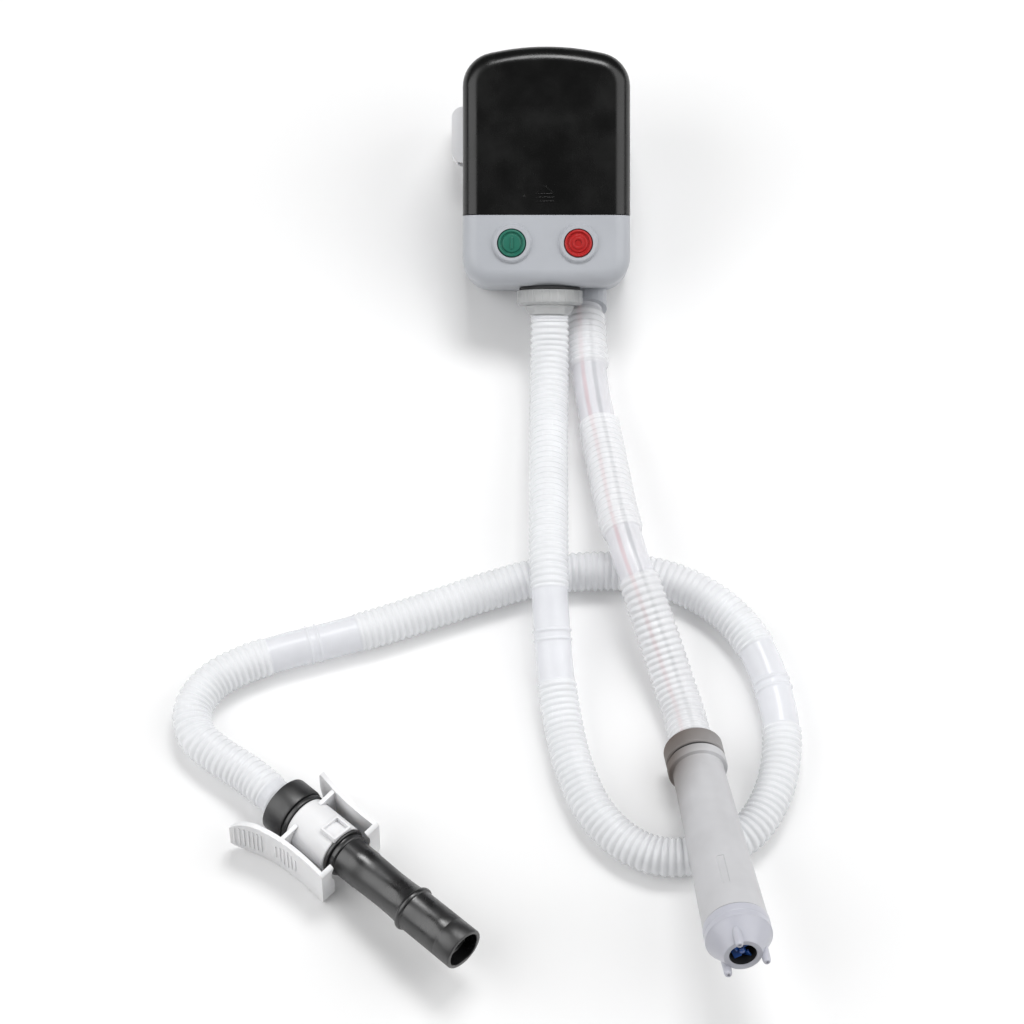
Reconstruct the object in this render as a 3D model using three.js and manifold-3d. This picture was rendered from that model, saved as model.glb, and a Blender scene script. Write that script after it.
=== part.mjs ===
// Battery-powered liquid transfer pump lying on a table: a battery head leaning back on its
// nozzle holder, a suction hose to a submersible motor intake, and a discharge hose to a
// clip-on nozzle. Millimetres, +Z up, origin on the table under the middle of the hard pieces.
import * as THREE from 'three';
import { mergeVertices } from 'three/addons/utils/BufferGeometryUtils.js';
import Module from 'manifold-3d';

const wasm = await Module();
wasm.setup();

// ---------------------------------------------------------------- driving dimensions
const DEG = Math.PI / 180;
const GAP = 0.3;
const FINE = 20;
const MEDIUM = 14;
const SMALL = 10;

// The layout below is written from a point on the table between the hoses; this moves it so that
// the origin lies under the middle of the box around the hard pieces.
const LAYOUT_SHIFT = new THREE.Vector3(7.07, 23.61, -0.09);

const HEAD = {
  place: [18.1, 135.69, -2], lean: 28 * DEG,
  width: 88, height: 126, depth: 66, shoulderTurn: 77 * DEG, topRadius: 18, bottomRadius: 15,
  edgeRound: 6, wall: 2.2, splitZ: 33.2, coverY: 37,
};
const BUTTON = { radius: 7.3, hole: 7.7, collar: 10, y: 22, onX: -18.3, offX: 16.7 };
const OUTLET = { x: 1.8, z: 46.5, bore: 6.2, spigot: 8, nut: 17.3, nutLength: 7.8, cuffEnd: -15 };
const SUCTION = { x: 20.7, tableHeight: 14.6, outer: 11.6, bore: 8, length: 12 };
const CELL = { radius: 16.4, x: 17.6, z: 45.4, low: 48, high: 107 };
const SCREW = { x: 32, ys: [46, 110], head: 3.1, shaft: 1.5 };
const HOLDER = { left: -50.5, right: -14, low: 69, high: 99, depth: 34.32, wall: 3, round: 6 };

const HOSE = { radius: 10, sides: 8, steps: 44 };
const SUCTION_HOSE = { radius: 11, bore: 9, sides: 10, steps: 20 };
const LEAD = { radius: 1.1, sides: 8, steps: 16, offset: 3 };

const INTAKE = {
  place: [92.04, -144.86, 14.7], heading: 8.75 * DEG, rise: 20.2 * DEG,
  collar: 15.2, collarLength: 10.4, barrelStart: 3, barrelEnd: 128.6, neck: 12.4, ring: 15.3,
  ringLength: 5.6, rearRadius: 13.1, frontRadius: 16.6, wall: 1.8, coneStart: 137.3, capTip: 149.1,
  mouth: 6.9, nose: 10.2,
};
const MOTOR = { radius: 9.5, start: 30, end: 76, shaft: 1.1, shaftEnd: 140.6 };

const NOZZLE = {
  place: [-110.3, -182, 17], heading: 46.2 * DEG, rise: 7.1 * DEG,
  collar: 15.2, sleeve: 13.4, tip: 120.8, bore: 8.6, core: 9.4,
};
const CLIP = { thickness: 2.4, low: 0.3, high: 30.5, webY: 9.4, front: 40.6 };

// Centreline of the discharge hose, from the outlet cuff round the loop to the nozzle collar.
const DISCHARGE_ROUTE = [
  [19.9, 100.39, 31.9], [19.9, 95.2, 29.1], [19.9, 84.8, 24.6], [19.7, 66, 21], [19.3, 44, 20.8],
  [19, 18, 24],
  [19, -12, 29], [19, -42, 31.2], [19.6, -66, 28.5], [21, -88, 21.5], [23, -108, 14.8],
  [26.5, -131, 10.9], [32, -155, 10.2], [43, -180, 10.2], [58, -196, 10.2], [75, -203.5, 10.2],
  [97, -202, 10.2], [118, -191.5, 10.2], [132, -170, 10.2], [138, -140, 10.2], [134, -109, 10.2],
  [123, -80, 10.2], [106, -60, 10.2], [84, -47, 10.2], [59, -41, 10.2], [33, -41, 10.2],
  [10, -45, 10.2], [-12, -52, 10.2], [-40, -62.5, 10.2], [-66, -72, 10.2], [-91, -80, 10.2],
  [-116, -87, 10.2], [-138, -95, 10.2], [-155, -106, 10.2], [-163.5, -121, 10.2],
  [-161, -136, 10.6], [-149.5, -147.5, 11.5], [-134.2, -159, 12.9], [-124.8, -168, 14.6],
  [-120.2, -172.6, 15.3], [-116.4, -176.2, 15.95],
];

// Centreline of the suction hose, from the socket over the far run to the intake collar.
const SUCTION_ROUTE = [
  [38.8, 114.39, 14.6], [38.8, 106, 14.6], [39.3, 94.5, 14.4], [40.5, 78, 14.2], [43, 58, 15.2], [47, 34, 18.8],
  [50.5, 10, 24], [54.5, -16, 29.8], [60.5, -42, 32.4], [66.5, -60, 30.2], [73.2, -79, 23.6],
  [79.6, -97, 16.4], [84.2, -111, 12.5], [87.6, -122, 11.3], [89.7, -132, 11.7],
  [91.42, -140.9, 13.28], [91.97, -144.42, 14.54],
];

// ---------------------------------------------------------------- finishes
const FINISH = {
  body: { color: 0xd2d5da, roughness: 0.42, metalness: 0 },
  cover: { color: 0x101212, roughness: 0.22, metalness: 0 },
  white: { color: 0xe2e2e4, roughness: 0.45, metalness: 0 },
  green: { color: 0x0f6b50, roughness: 0.3, metalness: 0 },
  red: { color: 0xc41e24, roughness: 0.3, metalness: 0 },
  frosted: { color: 0xdfe1e2, roughness: 0.5, metalness: 0 },
  hose: { color: 0xe9ebec, roughness: 0.4, metalness: 0 },
  taupe: { color: 0x857a70, roughness: 0.45, metalness: 0 },
  barrel: { color: 0xb3aea9, roughness: 0.35, metalness: 0 },
  cap: { color: 0xe0e0ea, roughness: 0.35, metalness: 0 },
  blue: { color: 0x123a8c, roughness: 0.25, metalness: 0 },
  black: { color: 0x141414, roughness: 0.28, metalness: 0 },
  rubber: { color: 0x26262a, roughness: 0.8, metalness: 0 },
  steel: { color: 0xb9bcc0, roughness: 0.3, metalness: 1 },
  board: { color: 0x23603a, roughness: 0.5, metalness: 0 },
  cellJacket: { color: 0x5f6874, roughness: 0.35, metalness: 0 },
  leadRed: { color: 0xc03038, roughness: 0.5, metalness: 0 },
  leadBlack: { color: 0x2c2c2e, roughness: 0.5, metalness: 0 },
};

// ---------------------------------------------------------------- solids
// A closed solid from a geometry: shared corners are merged and faces are turned outwards.
function solid(source) {
  const geometry = source.clone();
  geometry.deleteAttribute('normal');
  geometry.deleteAttribute('uv');
  const merged = mergeVertices(geometry, 1e-4);
  const index = Array.from(merged.index.array);
  const triangles = [];
  for (let i = 0; i < index.length; i += 3) {
    const [a, b, c] = index.slice(i, i + 3);
    if (a !== b && b !== c && a !== c) triangles.push(a, b, c);
  }
  const points = merged.attributes.position.array;
  const corner = (i) => new THREE.Vector3().fromArray(points, 3 * i);
  let volume = 0;
  for (let i = 0; i < triangles.length; i += 3) {
    const [a, b, c] = triangles.slice(i, i + 3).map(corner);
    volume += a.dot(b.cross(c));
  }
  if (volume < 0) triangles.reverse();
  const mesh = new wasm.Mesh({
    numProp: 3, vertProperties: new Float32Array(points), triVerts: new Uint32Array(triangles),
  });
  return new wasm.Manifold(mesh);
}

function surface(manifold) {
  const mesh = manifold.getMesh();
  const geometry = new THREE.BufferGeometry();
  geometry.setAttribute('position', new THREE.BufferAttribute(mesh.vertProperties, 3));
  geometry.setIndex(new THREE.BufferAttribute(mesh.triVerts, 1));
  geometry.computeVertexNormals();
  return geometry;
}

function union(...solids) {
  return solids.reduce((whole, next) => whole.add(next));
}

function box(low, high) {
  const size = high.map((value, i) => value - low[i]);
  const geometry = new THREE.BoxGeometry(...size);
  geometry.translate(...low.map((value, i) => value + size[i] / 2));
  return solid(geometry);
}

// A cylinder along Y from y0 to y1.
function rodY(radius, y0, y1, x = 0, z = 0, sides = MEDIUM) {
  const geometry = new THREE.CylinderGeometry(radius, radius, y1 - y0, sides);
  geometry.translate(x, (y0 + y1) / 2, z);
  return solid(geometry);
}

// A cylinder along Z from z0 to z1.
function rodZ(radius, z0, z1, x = 0, y = 0, sides = MEDIUM) {
  const geometry = new THREE.CylinderGeometry(radius, radius, z1 - z0, sides);
  geometry.rotateX(Math.PI / 2);
  geometry.translate(x, y, (z0 + z1) / 2);
  return solid(geometry);
}

// A body turned about Y from [radius, y] pairs that close on themselves or end on the axis.
function turned(profile, sides = FINE) {
  return solid(new THREE.LatheGeometry(profile.map(([r, y]) => new THREE.Vector2(r, y)), sides));
}

function ringY(inner, outer, y0, y1, sides = FINE) {
  return turned([[inner, y0], [outer, y0], [outer, y1], [inner, y1], [inner, y0]], sides);
}

function outlineOf(points) {
  return new THREE.Shape(points.map(([x, y]) => new THREE.Vector2(x, y)));
}

function extruded(shape, z0, z1, curveSegments = 4) {
  const geometry = new THREE.ExtrudeGeometry(shape, { depth: z1 - z0, bevelEnabled: false, curveSegments });
  geometry.translate(0, 0, z0);
  return solid(geometry);
}

function roundedRectangle(x0, y0, x1, y1, r) {
  const shape = new THREE.Shape();
  shape.moveTo(x0 + r, y0);
  shape.lineTo(x1 - r, y0);
  shape.absarc(x1 - r, y0 + r, r, -Math.PI / 2, 0);
  shape.lineTo(x1, y1 - r);
  shape.absarc(x1 - r, y1 - r, r, 0, Math.PI / 2);
  shape.lineTo(x0 + r, y1);
  shape.absarc(x0 + r, y1 - r, r, Math.PI / 2, Math.PI);
  shape.lineTo(x0, y0 + r);
  shape.absarc(x0 + r, y0 + r, r, Math.PI, Math.PI * 1.5);
  return shape;
}

function circleShape(radius, sides, holeRadius = 0) {
  const turn = (r) => Array.from({ length: sides }, (_, i) => {
    const angle = (2 * Math.PI * i) / sides;
    return new THREE.Vector2(r * Math.cos(angle), r * Math.sin(angle));
  });
  const shape = new THREE.Shape(turn(radius));
  if (holeRadius > 0) shape.holes.push(new THREE.Path(turn(holeRadius)));
  return shape;
}

function routeCurve(route, offset = [0, 0, 0]) {
  const points = route.map((p) => new THREE.Vector3(p[0] + offset[0], p[1] + offset[1], p[2] + offset[2]));
  return new THREE.CatmullRomCurve3(points, false, 'centripetal');
}

function tube(curve, shape, steps) {
  return solid(new THREE.ExtrudeGeometry(shape, { extrudePath: curve, steps, bevelEnabled: false }));
}

// ---------------------------------------------------------------- assembly
const pump = new THREE.Group();
const table = new THREE.Group();
table.position.copy(LAYOUT_SHIFT);
pump.add(table);

function piece(parent, name, manifold, finish) {
  const mesh = new THREE.Mesh(surface(manifold), new THREE.MeshStandardMaterial(finish));
  mesh.name = name;
  parent.add(mesh);
  return mesh;
}

// A group whose +Y runs along a heading (measured from -Y towards +X) and a rise above the table.
function aimed(place, heading, rise) {
  const y = new THREE.Vector3(
    Math.sin(heading) * Math.cos(rise), -Math.cos(heading) * Math.cos(rise), Math.sin(rise),
  );
  const x = new THREE.Vector3().crossVectors(y, new THREE.Vector3(0, 0, 1)).normalize();
  const z = new THREE.Vector3().crossVectors(x, y);
  const group = new THREE.Group();
  group.quaternion.setFromRotationMatrix(new THREE.Matrix4().makeBasis(x, y, z));
  group.position.set(...place);
  table.add(group);
  return group;
}

const head = new THREE.Group();
head.position.set(...HEAD.place);
head.rotation.x = HEAD.lean;
table.add(head);

// ---------------------------------------------------------------- head shells
function headOutline(inset) {
  const w = HEAD.width / 2 - inset;
  const rt = HEAD.topRadius - inset;
  const rb = HEAD.bottomRadius - inset;
  const turn = HEAD.shoulderTurn;
  const centerX = w - rt;
  const rise = rt * Math.sin(turn) + (centerX + rt * Math.cos(turn)) / Math.tan(turn) / 2;
  const centerY = HEAD.height - inset - rise;
  const shape = new THREE.Shape();
  shape.moveTo(-w + rb, inset);
  shape.lineTo(w - rb, inset);
  shape.absarc(w - rb, inset + rb, rb, -Math.PI / 2, 0);
  shape.lineTo(w, centerY);
  shape.absarc(centerX, centerY, rt, 0, turn);
  const endX = centerX + rt * Math.cos(turn);
  const endY = centerY + rt * Math.sin(turn);
  shape.quadraticCurveTo(0, endY + endX / Math.tan(turn), -endX, endY);
  shape.absarc(-centerX, centerY, rt, Math.PI - turn, Math.PI);
  shape.lineTo(-w, inset + rb);
  shape.absarc(-w + rb, inset + rb, rb, Math.PI, Math.PI * 1.5);
  return shape;
}

function headBlock(inset) {
  const round = HEAD.edgeRound - inset;
  const geometry = new THREE.ExtrudeGeometry(headOutline(inset), {
    depth: HEAD.depth - 2 * inset - 2 * round, curveSegments: 4,
    bevelEnabled: true, bevelThickness: round, bevelSize: round, bevelOffset: -round, bevelSegments: 2,
  });
  geometry.translate(0, 0, inset + round);
  return solid(geometry);
}

const FAR = 200;
const shell = headBlock(0).subtract(headBlock(HEAD.wall));

function buildHousing() {
  const bosses = [];
  const recesses = [];
  for (const x of [-SCREW.x, SCREW.x]) {
    for (const y of SCREW.ys) {
      bosses.push(rodZ(5.2, 1.5, 14, x, y, SMALL));
      recesses.push(rodZ(3.6, -1, 6, x, y, SMALL), rodZ(1.8, 5, 15, x, y, SMALL));
    }
  }
  const tilted = new THREE.CylinderGeometry(SUCTION.outer + GAP, SUCTION.outer + GAP, 60, FINE);
  tilted.rotateX(-HEAD.lean);
  tilted.translate(SUCTION.x, 0, (SUCTION.tableHeight - HEAD.place[2]) / Math.cos(HEAD.lean));
  const rear = shell.intersect(box([-FAR, -FAR, -FAR], [FAR, FAR, HEAD.splitZ - GAP / 2]));
  const shelled = union(rear, ...bosses).subtract(union(...recesses));
  const nearBottom = solid(tilted).intersect(box([-FAR, -FAR, -FAR], [FAR, 8, FAR]));
  piece(head, 'rear_housing', shelled.subtract(nearBottom), FINISH.body);

  const collars = [BUTTON.onX, BUTTON.offX].map((x) => rodZ(BUTTON.collar, 64.5, 68, x, BUTTON.y, FINE));
  const holes = [BUTTON.onX, BUTTON.offX].map((x) => rodZ(BUTTON.hole, 55, 75, x, BUTTON.y, FINE));
  const outletHole = rodY(OUTLET.spigot + 0.4, -5, 8, OUTLET.x, OUTLET.z, MEDIUM);
  const front = shell.intersect(
    box([-FAR, -FAR, HEAD.splitZ + GAP / 2], [FAR, HEAD.coverY - GAP / 2, FAR]),
  );
  piece(head, 'front_panel', union(front, ...collars).subtract(union(...holes, outletHole)), FINISH.body);

  const cover = shell.intersect(
    box([-FAR, HEAD.coverY + GAP / 2, HEAD.splitZ + GAP / 2], [FAR, FAR, FAR]),
  );
  piece(head, 'battery_cover', cover, FINISH.cover);
}

// The open loop on the back that holds the nozzle when the pump is put away.
function buildHolder() {
  const { left, right, low, high, depth, wall, round } = HOLDER;
  const back = -depth;
  const loop = new THREE.Shape();
  const r = 12;
  loop.moveTo(right, -GAP);
  loop.lineTo(left, -GAP);
  loop.lineTo(left, back + r);
  loop.absarc(left + r, back + r, r, Math.PI, Math.PI * 1.5);
  loop.lineTo(right - r, back);
  loop.absarc(right - r, back + r, r, -Math.PI / 2, 0);
  const inner = new THREE.Path();
  const ri = r - wall;
  inner.moveTo(right - wall, -GAP - wall);
  inner.lineTo(left + wall, -GAP - wall);
  inner.lineTo(left + wall, back + r);
  inner.absarc(left + r, back + r, ri, Math.PI, Math.PI * 1.5);
  inner.lineTo(right - r, back + wall);
  inner.absarc(right - r, back + r, ri, -Math.PI / 2, 0);
  loop.holes.push(inner);
  const geometry = new THREE.ExtrudeGeometry(loop, { depth: high - low, bevelEnabled: false, curveSegments: 4 });
  geometry.rotateX(Math.PI / 2);
  geometry.scale(1, -1, 1);
  geometry.translate(0, low, 0);
  const trimmed = solid(geometry).intersect(
    extruded(roundedRectangle(left, low, right + 20, high, round), -60, 10),
  );
  piece(head, 'nozzle_holder', trimmed, FINISH.white);
}

function buildScrews() {
  let number = 1;
  for (const x of [-SCREW.x, SCREW.x]) {
    for (const y of SCREW.ys) {
      const screw = union(
        rodZ(SCREW.head, 3, 5.6, x, y, SMALL),
        rodZ(SCREW.shaft, 5, 22, x, y, 10),
      ).subtract(box([x - 2.2, y - 0.4, 2], [x + 2.2, y + 0.4, 4]));
      piece(head, `housing_screw_${number}`, screw, FINISH.steel);
      number += 1;
    }
  }
}

// ---------------------------------------------------------------- battery bay
function springCurve(x, y0, y1, z) {
  const turns = 3.5;
  const radius = 6.5;
  const points = Array.from({ length: 43 }, (_, i) => {
    const t = i / 42;
    const angle = 2 * Math.PI * turns * t;
    return new THREE.Vector3(x + radius * Math.cos(angle), y0 + (y1 - y0) * t, z + radius * Math.sin(angle));
  });
  return new THREE.CatmullRomCurve3(points);
}

function buildBatteryBay() {
  const posts = [];
  const pilots = [];
  for (const x of [-SCREW.x, SCREW.x]) {
    for (const y of SCREW.ys) {
      posts.push(rodZ(4.6, 14.3, 26.5, x, y, SMALL));
      pilots.push(rodZ(1.8, 14, 24, x, y, SMALL));
    }
  }
  const tray = union(
    box([-41.2, 33, 26], [41.2, 106, 28]),
    box([-27, 100, 26], [27, 119.4, 28]),
    box([-41.2, 33, 26.5], [41.2, 35, 58]),
    box([-27, 118, 26.5], [27, 119.4, 54]),
    box([-0.9, 50, 27], [0.9, 105, 34]),
    ...posts,
  ).subtract(union(...pilots));
  piece(head, 'battery_tray', tray, FINISH.white);

  const cell = (sign) => {
    const nub = sign < 0 ? rodY(4.4, CELL.high - 0.5, CELL.high + 1.8, 0, 0, SMALL)
      : rodY(4.4, CELL.low - 1.8, CELL.low + 0.5, 0, 0, SMALL);
    return union(rodY(CELL.radius, CELL.low, CELL.high, 0, 0, FINE), nub).translate(sign * CELL.x, 0, CELL.z);
  };
  piece(head, 'battery_cell_left', cell(-1), FINISH.cellJacket);
  piece(head, 'battery_cell_right', cell(1), FINISH.cellJacket);

  const wire = circleShape(0.6, 5);
  const lower = tube(springCurve(-CELL.x, 37.3, 47, CELL.z), wire, 42);
  const upper = tube(springCurve(CELL.x, 108, 116.1, CELL.z), wire, 42);
  piece(head, 'battery_spring_left', lower, FINISH.steel);
  piece(head, 'battery_spring_right', upper, FINISH.steel);
  piece(head, 'contact_plate_left', box([-26, 35.3, 37], [-9, 35.9, 54]), FINISH.steel);
  piece(head, 'contact_plate_right', box([9, 35.3, 37], [26, 35.9, 54]), FINISH.steel);
  piece(head, 'contact_plate_bridge', box([-26, 117.1, 38], [26, 117.7, 53]), FINISH.steel);
}

// ---------------------------------------------------------------- switches and buttons
function buildControls() {
  piece(head, 'switch_board', box([-31, 15.6, 57.2], [31, 31, 58.8]), FINISH.board);
  const boardTop = 58.8 + GAP;
  const press = (name, x, finish) => {
    const button = union(
      rodZ(BUTTON.radius, 62.4, 68.3, x, BUTTON.y, FINE),
      rodZ(8.8, 62.3, 63.4, x, BUTTON.y, FINE),
    );
    piece(head, `${name}_button`, button, finish);
    const base = box([x - 3.5, BUTTON.y - 3.5, boardTop], [x + 3.5, BUTTON.y + 3.5, boardTop + 0.6]);
    piece(head, `${name}_switch`, union(base, rodZ(2, boardTop, boardTop + 0.9, x, BUTTON.y, SMALL)), FINISH.rubber);
  };
  press('on', BUTTON.onX, FINISH.green);
  press('off', BUTTON.offX, FINISH.red);
}

// ---------------------------------------------------------------- flow path in the head
function buildFlowPath() {
  const suctionZ = (SUCTION.tableHeight - HEAD.place[2]) / Math.cos(HEAD.lean);
  const portZ = suctionZ - 3 * Math.tan(HEAD.lean);
  const chamber = box([-12, 2.9, 7], [31.5, 14.6, 56]);
  const hollow = box([-10, 4.9, 9], [29.5, 12.6, 54]);
  const spigot = rodY(OUTLET.spigot, -14, 5, OUTLET.x, OUTLET.z, MEDIUM);
  const manifold = union(chamber, spigot).subtract(union(
    hollow,
    rodY(OUTLET.bore, -15, 6, OUTLET.x, OUTLET.z, MEDIUM),
    rodY(6.5, 2, 6, SUCTION.x, portZ, MEDIUM),
  ));
  piece(head, 'flow_manifold', manifold, FINISH.white);

  const pipe = ringY(SUCTION.bore, SUCTION.outer, -SUCTION.length, 20, FINE);
  const socket = pipe.rotate(-HEAD.lean / DEG, 0, 0).translate(SUCTION.x, 0, suctionZ);
  const inside = box([-FAR, -FAR, -FAR], [FAR, 2.5, FAR]);
  piece(head, 'suction_socket', socket.intersect(inside), FINISH.body);

  const outlet = new THREE.Group();
  outlet.position.set(OUTLET.x, 0, OUTLET.z);
  head.add(outlet);
  const nutTop = -1.9;
  const nutEnd = nutTop - OUTLET.nutLength;
  piece(outlet, 'outlet_washer', ringY(8.5, 16, -1.6, -GAP, FINE), FINISH.rubber);
  const grips = [];
  const count = 12;
  for (let i = 0; i < count; i += 1) {
    const angle = (2 * Math.PI * i) / count;
    const x = (OUTLET.nut + 0.6) * Math.cos(angle);
    const z = (OUTLET.nut + 0.6) * Math.sin(angle);
    grips.push(rodY(1.3, nutEnd - 1, nutTop + 1, x, z, 8));
  }
  const nut = turned([
    [13.2, nutTop], [OUTLET.nut, nutTop], [OUTLET.nut, nutEnd + 1], [OUTLET.nut - 1, nutEnd],
    [9.5, nutEnd], [9.5, nutEnd + 2], [13.2, nutEnd + 2], [13.2, nutTop],
  ], FINE).subtract(union(...grips));
  piece(outlet, 'outlet_nut', nut, FINISH.frosted);
  piece(outlet, 'outlet_gasket', ringY(8.3, 12.8, -3.6, -2.4, MEDIUM), FINISH.rubber);
  piece(outlet, 'outlet_cuff', turned([
    [8.3, -4], [9.1, -4], [9.1, -9.9], [12.8, -10], [12.8, -11.5], [10.6, OUTLET.cuffEnd + 0.2],
    [8.3, OUTLET.cuffEnd + 0.2], [8.3, -4],
  ], FINE), FINISH.frosted);
}

// ---------------------------------------------------------------- hoses and leads
function buildHoses() {
  const loose = circleShape(HOSE.radius, HOSE.sides);
  piece(table, 'discharge_hose', tube(routeCurve(DISCHARGE_ROUTE), loose, HOSE.steps), FINISH.hose);
  const hollow = circleShape(SUCTION_HOSE.radius, SUCTION_HOSE.sides, SUCTION_HOSE.bore);
  piece(table, 'suction_hose', tube(routeCurve(SUCTION_ROUTE), hollow, SUCTION_HOSE.steps), FINISH.hose);

  const wire = circleShape(LEAD.radius, LEAD.sides);
  const start = [38.8, 122, 14.6];
  const end = [96.1, -171.4, 24.7];
  const route = [start, ...SUCTION_ROUTE, end];
  const lead = (name, side, finish) => {
    const curve = routeCurve(route, [side * LEAD.offset, 0, 0]);
    piece(table, name, tube(curve, wire, LEAD.steps), finish);
  };
  lead('motor_lead_red', -1, FINISH.leadRed);
  lead('motor_lead_black', 1, FINISH.leadBlack);
}

// ---------------------------------------------------------------- intake with motor and impeller
function buildIntake() {
  const intake = aimed(INTAKE.place, INTAKE.heading, INTAKE.rise);
  const { collar, collarLength, barrelStart, barrelEnd, neck, ring, wall } = INTAKE;
  const { mouth, nose, capTip, coneStart } = INTAKE;
  piece(intake, 'intake_collar', turned([
    [8.5, 0], [collar - 0.8, 0], [collar, 0.8], [collar, collarLength - 0.8],
    [collar - 0.8, collarLength], [neck + 0.4, collarLength], [neck + 0.4, 2.2], [8.5, 2.2], [8.5, 0],
  ], FINE), FINISH.taupe);
  piece(intake, 'collar_seal', ringY(neck + GAP, 14.2, collarLength + GAP, collarLength + 1.5, FINE), FINISH.rubber);

  const ringStart = collarLength + 1.8;
  const ringEnd = ringStart + INTAKE.ringLength;
  const barrel = turned([
    [neck - wall, barrelStart], [neck, barrelStart], [neck, ringStart], [ring, ringStart],
    [ring, ringEnd - 1.2], [INTAKE.rearRadius, ringEnd], [INTAKE.frontRadius, barrelEnd],
    [INTAKE.frontRadius - wall, barrelEnd], [INTAKE.rearRadius - wall, ringEnd],
    [neck - wall, ringStart + 2], [neck - wall, barrelStart],
  ], FINE);
  const slot = box([-2.1, 94, 14.6], [2.1, 114, 20]).rotate(0, 6, 0);
  piece(intake, 'intake_barrel', barrel.subtract(slot), FINISH.barrel);

  const pegs = [100, 225, 345].map((degrees) => {
    const angle = degrees * DEG;
    const x = -12 * Math.cos(angle);
    const z = 12 * Math.sin(angle);
    return union(rodY(2.2, 140, 152, x, z, SMALL), rodY(1.5, 151.5, 153.3, x, z, SMALL));
  });
  const cap = turned([
    [13.4, 123], [14.4, 123], [14.4, barrelEnd + GAP], [17, barrelEnd + GAP], [17, coneStart],
    [nose, capTip - 1.2], [nose - 0.8, capTip], [mouth, capTip], [mouth, 139],
    [13.4, 134], [13.4, 123],
  ], FINE);
  piece(intake, 'intake_cap', union(cap, ...pegs), FINISH.cap);

  const can = union(
    rodY(MOTOR.radius, MOTOR.start, MOTOR.end - 2, 0, 0, FINE),
    rodY(3.4, MOTOR.end - 3, MOTOR.end, 0, 0, SMALL),
  ).subtract(rodY(1.5, MOTOR.end - 6, MOTOR.end + 1, 0, 0, SMALL));
  piece(intake, 'motor_can', can, FINISH.steel);
  piece(intake, 'motor_shaft', rodY(MOTOR.shaft, MOTOR.end - 5, MOTOR.shaftEnd, 0, 0, SMALL), FINISH.steel);

  const passages = [45, 135, 225, 315].map((degrees) => {
    const angle = degrees * DEG;
    return rodY(2.4, 78, 86, 8.6 * Math.cos(angle), 8.6 * Math.sin(angle), SMALL);
  });
  const bulkhead = rodY(12.9, 80, 83, 0, 0, FINE).subtract(union(rodY(3.3, 78, 86, 0, 0, SMALL), ...passages));
  piece(intake, 'motor_bulkhead', bulkhead, FINISH.white);
  piece(intake, 'shaft_seal', ringY(1.5, 3, 80.2, 82.8, SMALL), FINISH.rubber);

  const blades = [0, 1, 2, 3].map((i) => {
    const geometry = new THREE.BoxGeometry(4.4, 0.9, 5.4);
    geometry.translate(3.9, 0, 0);
    const turn = new THREE.Matrix4().makeRotationX(38 * DEG);
    geometry.applyMatrix4(turn);
    geometry.rotateY(i * 90 * DEG);
    geometry.translate(0, 141.2, 0);
    return solid(geometry);
  });
  const swept = ringY(0.01, mouth - 0.5, 138.2, 144.7, FINE);
  const wheel = union(rodY(2.3, 138.4, 144.5, 0, 0, SMALL), ...blades).intersect(swept);
  piece(intake, 'impeller', wheel.subtract(rodY(1.4, 137, 141.2, 0, 0, SMALL)), FINISH.blue);
}

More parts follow.
